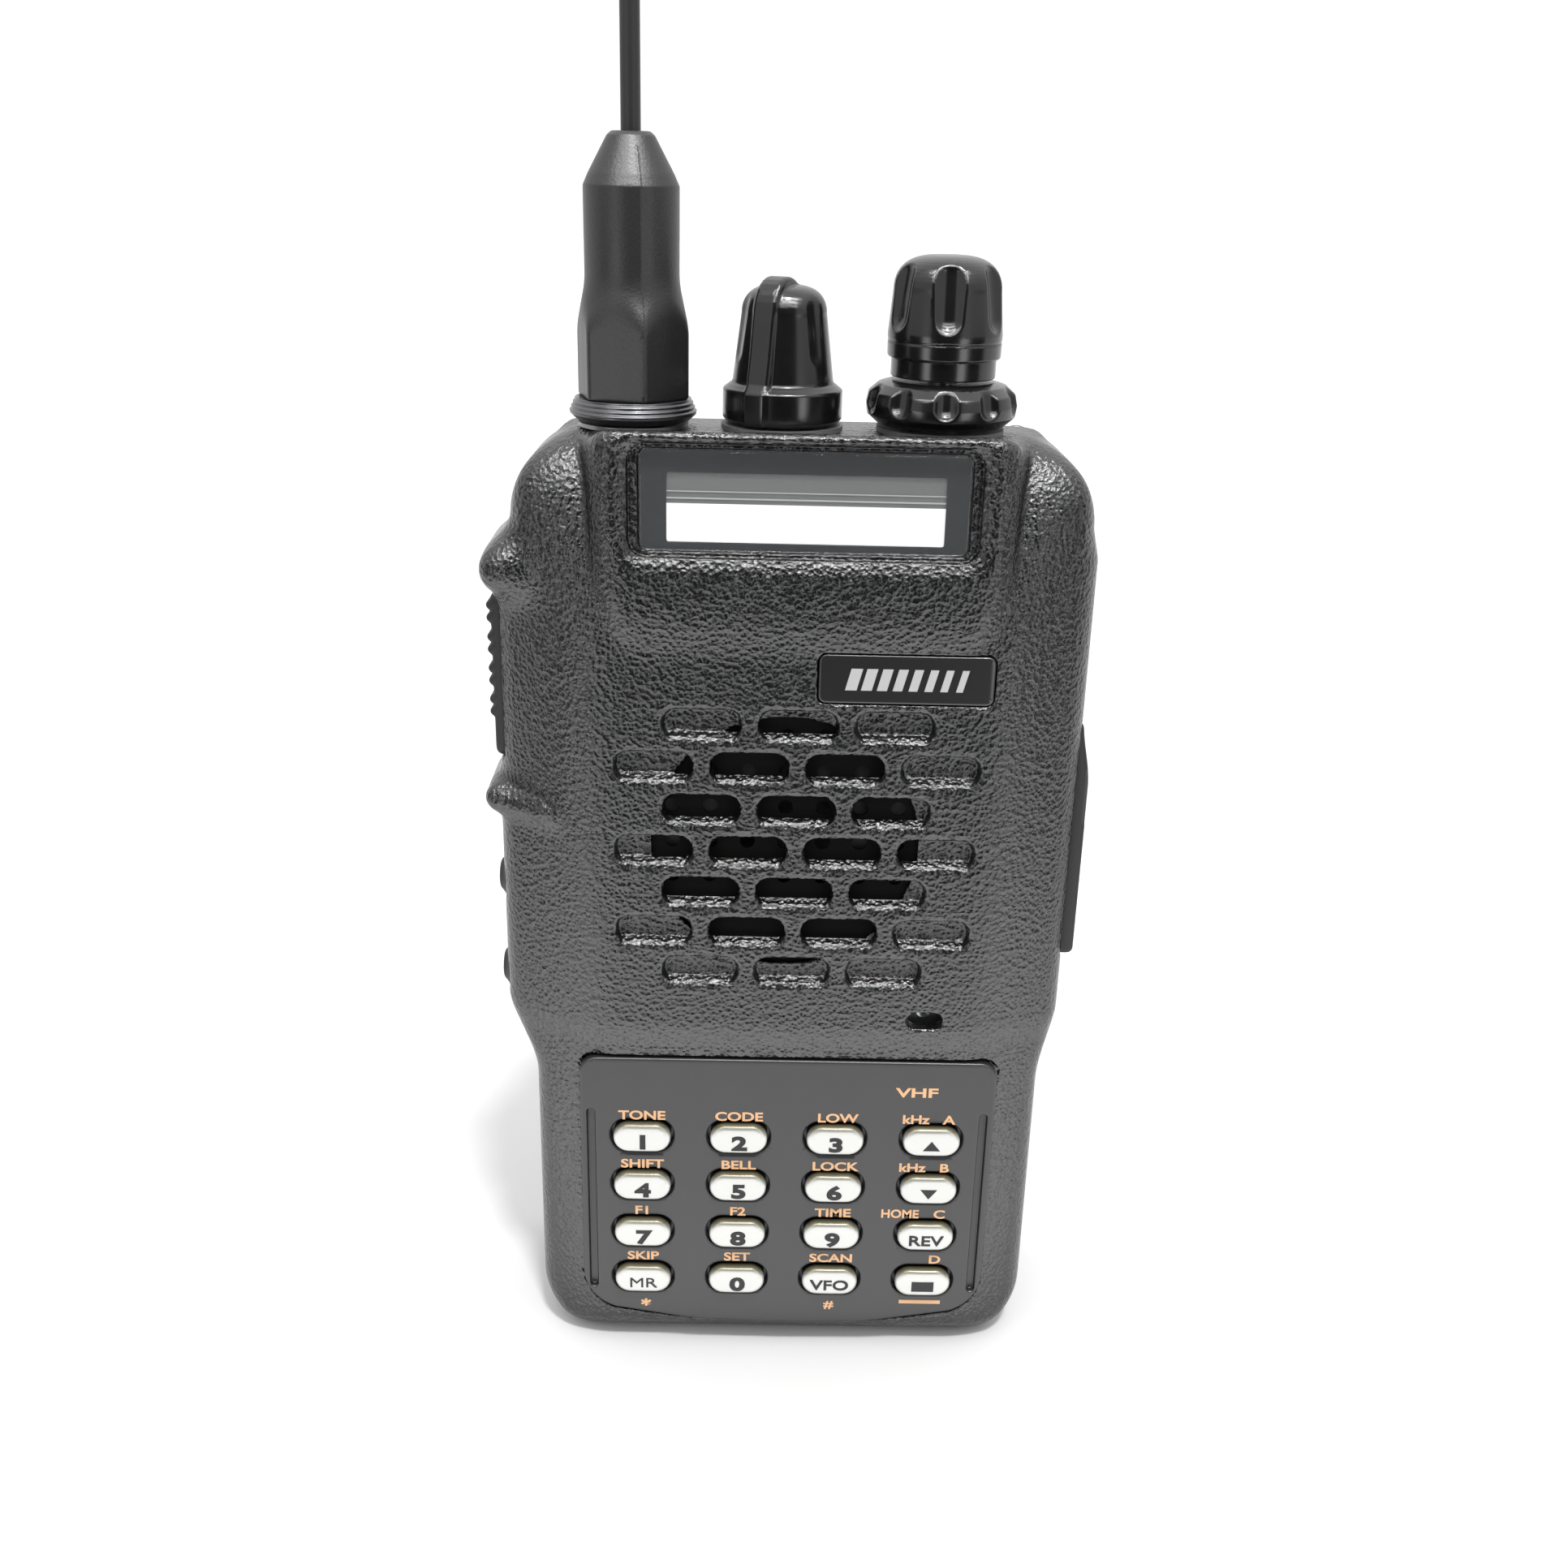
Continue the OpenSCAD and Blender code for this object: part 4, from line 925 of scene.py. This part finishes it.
def talk_field(x, y, z):
    """The talk button: a soft pad with ribs in pairs, on a flange."""
    pad = smax(rounded(y - SIDE_Y, z - TALK_Z, 5.8, 18.2, 1.2), np.maximum(-32.55 - x, x + 29.8), 0.9)
    for pair in (77.75, 81.2, 84.65, 88.1):
        for offset in (-0.68, 0.68):
            rib_z = pair + offset
            rib = capsule(x, y, z, (-32.5, SIDE_Y - 2.2, rib_z), (-32.5, SIDE_Y + 2.2, rib_z), 0.5)
            pad = smin(pad, rib, 0.35)
    flange = np.maximum(rounded(y - SIDE_Y, z - TALK_Z, 7.4, 19.8, 0.5), np.maximum(-30 - x, x + 29.5))
    stem = np.maximum(np.hypot(y - SIDE_Y, z - TALK_Z) - 1.5, np.maximum(-30 - x, x + 29.1))
    return np.minimum(np.minimum(pad, flange), stem)


settle(mould("talk_pad", talk_field, (-33.1, -6, 71), (-29.1, 1.6, 91.2), 0.14),
       "talk_button", RUBBER, ["ptt_button"])


def small_button_field(button_z):
    """The field of a round button at a height, with a raised rim and a dished face."""
    def field(x, y, z):
        """The button itself."""
        r = np.hypot(y - SIDE_Y, z - button_z)
        face = -32.75 + 0.09 * r * r - 0.35 * np.exp(-((r - 1.5) / 0.5) ** 2)
        cap = smax(r - 2.9, np.maximum(face - x, x + 29.8), 0.5)
        flange = np.maximum(r - 3.5, np.maximum(-30 - x, x + 29.5))
        stem = np.maximum(r - 1.2, np.maximum(-30 - x, x + 28.7))
        return np.minimum(np.minimum(cap, flange), stem)
    return field


for body_name, button_z in (("monitor", MONITOR_Z), ("lamp", LAMP_Z)):
    settle(mould(body_name + "_pad", small_button_field(button_z), (-33.2, -6.1, button_z - 3.9),
                 (-28.7, 1.7, button_z + 3.9), 0.12),
           body_name, RUBBER, [body_name + "_button"])


def cover_field(x, y, z):
    """The rubber jack cover, with a raised border and a finger notch."""
    flat = rounded(y - JACK_Y, z - JACK_Z, 7.4, 27.6, 0.9)
    plate = smax(flat, np.maximum(29.75 - x, x - 31.9 + 1.1 * step(z, 70, 78)), 0.8)
    dish = smax(flat + 1.1, 31.62 - x, 0.3)
    plate = smax(plate, -dish, 0.3)
    for i in range(3):
        bar = capsule(x, y, z, (31.6, -4.6, 55 + i * 1.6), (31.6, -0.8, 55 + i * 1.6), 0.35)
        plate = smin(plate, bar, 0.2)
    notch = np.hypot(x - 32.4, y + 6.7) - 1.0
    return smax(plate, -np.maximum(notch, np.abs(z - 69) - 3), 0.3)


settle(mould("jack_flap", cover_field, (29.7, -6.5, 49.9), (32, 1.1, 77.7), 0.14),
       "jack_door", RUBBER, ["jack_cover"])


# ---- Back: chassis, battery pack and clip ----

def chassis_field(x, y, z):
    """The die-cast back: a floor plate and an upper block with cooling grooves."""
    outline = polygon(OUTLINE, x, z)
    plate = slab(outline + 0.4, y, CASTING, PACK_START, 0.3)
    block = smax(outline + 0.8, y - BACK, 1.6)
    corner = facet(np.abs(x), -y, (26, -BACK), (30.2, -BACK + 4))
    block = smax(block, corner, 1.2)
    block = smax(smax(block, 75 - z, 0.6), z - 106.5, 1.2)
    block = np.maximum(block, 3.55 - y)
    # Seven cooling grooves on each side
    row = np.abs((z - 78.0 - 1.7) % 3.6 - 1.8)
    channel = np.maximum(rounded(np.abs(x) - 22, 0 * z, 12, 4, 1.9), BACK - 1.6 - y)
    channel = np.maximum(channel, 1.1 - row)
    channel = np.maximum(channel, np.maximum(78.6 - z, z - 102.2))
    block = smax(block, -channel, 0.5)
    shape = np.minimum(plate, block)
    latch = np.maximum(rounded(x, z - 4.6, 10.6, 6, 0.3), np.maximum(1 - y, y - 5.5))
    shape = np.maximum(shape, -latch)
    for hole_x, hole_z in ((9, 101), (24, 104)):
        rod = np.maximum(np.hypot(np.abs(x) - hole_x, z - hole_z) - 1.25, BACK - 6 - y)
        shape = np.maximum(shape, -rod)
    return shape


settle(mould("chassis_casting", chassis_field, (-32.2, CASTING, 0.3), (31, BACK, 107.2), 0.27),
       "radio", CHASSIS, ["rear_chassis"])


LID = BACK - 1.2


def pack_line(u, v):
    """The battery pack's outline."""
    low = rounded(u, v - 37.3, 56.8, 74.6, 1.5)
    return np.maximum(low, rounded(u, v - 45, 56.8, 90, 5.5))


def finger_grooves(shape, x, z):
    """Cuts five grooves across each long side of the pack."""
    for i in range(5):
        groove = np.hypot(np.abs(x) - 29.0, z - 20 - i * 8) - 1.3
        shape = smax(shape, -groove, 0.4)
    return shape


def pack_field(x, y, z):
    """The battery case, open at the back, with a notch for the latch."""
    shape = slab(pack_line(x, z), y, PACK_START, LID, 0.5)
    shape = finger_grooves(shape, x, z)
    latch = np.maximum(rounded(x, z - 4.6, 10.6, 6, 0.3), y - 5.5)
    shape = np.maximum(shape, -latch)
    hollow = slab(pack_line(x, z) + 1.3, y, 4.9, 14, 0.2)
    return np.maximum(shape, -hollow)


def lid_field(x, y, z):
    """The battery lid: a ribbed recess, a latch window and holes for the charge contacts."""
    shape = slab(pack_line(x, z), y, LID, BACK + 3, 0.05)
    shape = smax(shape, y - BACK, 1.1)
    shape = finger_grooves(shape, x, z)
    recess = rounded(x, z - 44, 40, 42, 3)
    shape = smax(shape, -np.maximum(recess, BACK - 0.5 - y), 0.35)
    rib = np.abs((z - 44) % 3.0 - 1.5) - 0.55
    ribs = np.maximum(np.maximum(rib, recess + 4), np.maximum(BACK - 1 - y, y - BACK + 0.1))
    shape = smin(shape, ribs, 0.2)
    for hole_x in (-18, 18, 22):
        shape = np.maximum(shape, -(np.hypot(x - hole_x, z - 9) - 1.6))
    window = rounded(x, z - 7.7, 16.4, 11, 0.6)
    return smax(shape, -window, 0.3)


settle(mould("pack_shell", pack_field, (-28.5, PACK_START, 0), (28.5, LID, 74.7), 0.25),
       "radio", PACK, ["battery_case"])
settle(mould("pack_lid", lid_field, (-28.5, BACK - 1.3, 0), (28.5, BACK, 74.7), 0.2),
       "radio", PACK, ["battery_lid"])


def latch_field(x, y, z):
    """The sliding catch with four grip ridges and a tongue into the chassis."""
    plate = slab(rounded(x, z - 6.5, 16, 8, 0.8), y, LID, BACK - 0.2, 0.3)
    for i in range(4):
        ridge = capsule(x, y, z, (-6, BACK - 0.2, 4 + i * 1.7), (6, BACK - 0.2, 4 + i * 1.7), 0.42)
        plate = smin(plate, ridge, 0.3)
    tongue = np.maximum(rounded(x, z - 2.6, 10, 1.2, 0.1), np.maximum(2.7 - y, y - BACK + 1.2))
    heel = np.maximum(rounded(x, z - 5, 10, 6, 0.1), np.maximum(BACK - 2.2 - y, y - BACK + 1))
    return np.minimum(plate, np.minimum(tongue, heel))


settle(mould("latch_slider", latch_field, (-8, 2.7, 2), (8, BACK + 0.3, 10.5), 0.15),
       "latch", PACK, ["battery_latch"])

CLIP_IN = BACK + 5.6
CLIP_OUT = CLIP_IN + 1.8
BRACKET_OUT = BACK + 1.8
PIN = (BACK + 4.3, 96)


def bracket_field(x, y, z):
    """The clip's bracket: a screwed plate with two lugs round the pin."""
    plate = slab(rounded(x, z - 95.75, 26, 17.5, 2), y, BACK, BRACKET_OUT, 0.6)
    pin = np.hypot(y - PIN[0], z - PIN[1])
    web = np.maximum(np.maximum(93.8 - z, z - 98.2), np.maximum(BACK + 1 - y, y - PIN[0]))
    lug = smax(smin(pin - 2.2, web, 0.5), np.abs(np.abs(x) - 9.5) - 1.5, 0.4)
    shape = smin(plate, lug, 0.8)
    shape = np.maximum(shape, 1.0 - pin)
    screw = np.hypot(np.abs(x) - 9, z - 101) - 1.25
    return np.maximum(shape, -screw)


def clip_field(x, y, z):
    """The spring clip: a thumb tab, a knuckle round the pin and a long tongue."""
    line = [(CLIP_IN + 0.3, 104), (CLIP_IN + 0.3, 53), (CLIP_IN - 0.8, 50.5), (CLIP_IN + 0.6, 48.0),
            (CLIP_OUT + 0.2, 50.2), (CLIP_OUT - 0.3, 53), (CLIP_OUT - 0.3, 104), (CLIP_OUT - 0.7, 104.5),
            (CLIP_IN + 0.7, 104.5)]
    band = polygon(line, y, z) - 0.3
    width = rounded(x, z - 76.1, 15.4, 57.4, 3.2)
    shape = smax(band, width, 0.6)
    pin = np.hypot(y - PIN[0], z - PIN[1])
    knuckle = slab(pin - 2, np.abs(x), -1, 7.6, 0.3)
    shape = smin(shape, knuckle, 0.8)
    for i in range(5):
        ridge = capsule(x, y, z, (-5.6, CLIP_OUT, 99 + i * 1.1), (5.6, CLIP_OUT, 99 + i * 1.1), 0.35)
        shape = smin(shape, ridge, 0.2)
    groove = np.maximum(rounded(x, z - 74, 7, 36, 3), CLIP_OUT - 0.4 - y)
    shape = smax(shape, -groove, 0.3)
    shape = np.maximum(shape, 1.05 - pin)
    # Room for the spring round the middle of the pin
    return np.maximum(shape, -np.maximum(pin - 2.6, np.abs(x) - 3.2))


settle(mould("clip_mount", bracket_field, (-13, BACK, 87), (13, BACK + 6.6, 104.5), 0.18),
       "radio", CHASSIS, ["clip_bracket"])
settle(mould("clip_tongue", clip_field, (-7.8, PIN[0] - 2, 47.4), (7.8, CLIP_OUT + 0.4, 104.9), 0.18),
       "clip", PACK, ["belt_clip"])


def screws_field(x, y, z):
    """Four cross-head screws: two in the bracket and two in the corners."""
    screws = []
    for at_x, at_z, seat in ((9, 101, BRACKET_OUT), (24, 104, BACK)):
        u, w = np.abs(x) - at_x, z - at_z
        r = np.hypot(u, w)
        head = smax(r - 2.1, np.maximum(seat - y, y - seat - 0.85 + 0.06 * r * r), 0.4)
        cross = np.minimum(rounded(u, w, 0.6, 2.4, 0.1), rounded(u, w, 2.4, 0.6, 0.1))
        head = np.maximum(head, -np.maximum(cross, seat + 0.25 - y))
        shank = np.maximum(r - 1.2, np.maximum(BACK - 4 - y, y - seat - 0.1))
        screws.append(np.minimum(head, shank))
    return union(screws)


settle(mould("screw_heads", screws_field, (-26.3, BACK - 4.1, 98.7), (26.3, BACK + 2.8, 106.3), 0.15),
       "radio", DARK_STEEL, ["case_screws"])


# ---- CAD pieces that keep their shape ----

# The display module takes the display material, painted glow included
CAD_LOOKS = {
    "keypad_board": BOARD, "main_board": BOARD, "side_switches": BOARD, "lcd_module": LCD_PAINTED_GLOW,
    "lcd_holder": WHITE, "speaker_frame": DARK_STEEL, "speaker_cone": PAPER, "speaker_mesh": CLOTH,
    "microphone": STEEL, "shield_can": STEEL, "case_seal": SEAL, "selector_encoder": STEEL,
    "selector_shaft": STEEL, "volume_control": STEEL, "volume_shaft": STEEL, "squelch_sleeve": STEEL,
    "shaft_seals": SEAL, "antenna_socket": NICKEL, "jack_block": RUBBER, "battery_cells": CELLS,
    "battery_contacts": BRASS, "clip_pin": STEEL, "clip_spring": STEEL,
}
for node_name, look_material in CAD_LOOKS.items():
    cad_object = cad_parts[node_name]
    cad_object.data.materials.clear()
    cad_object.data.materials.append(look_material)

bpy.context.view_layer.update()
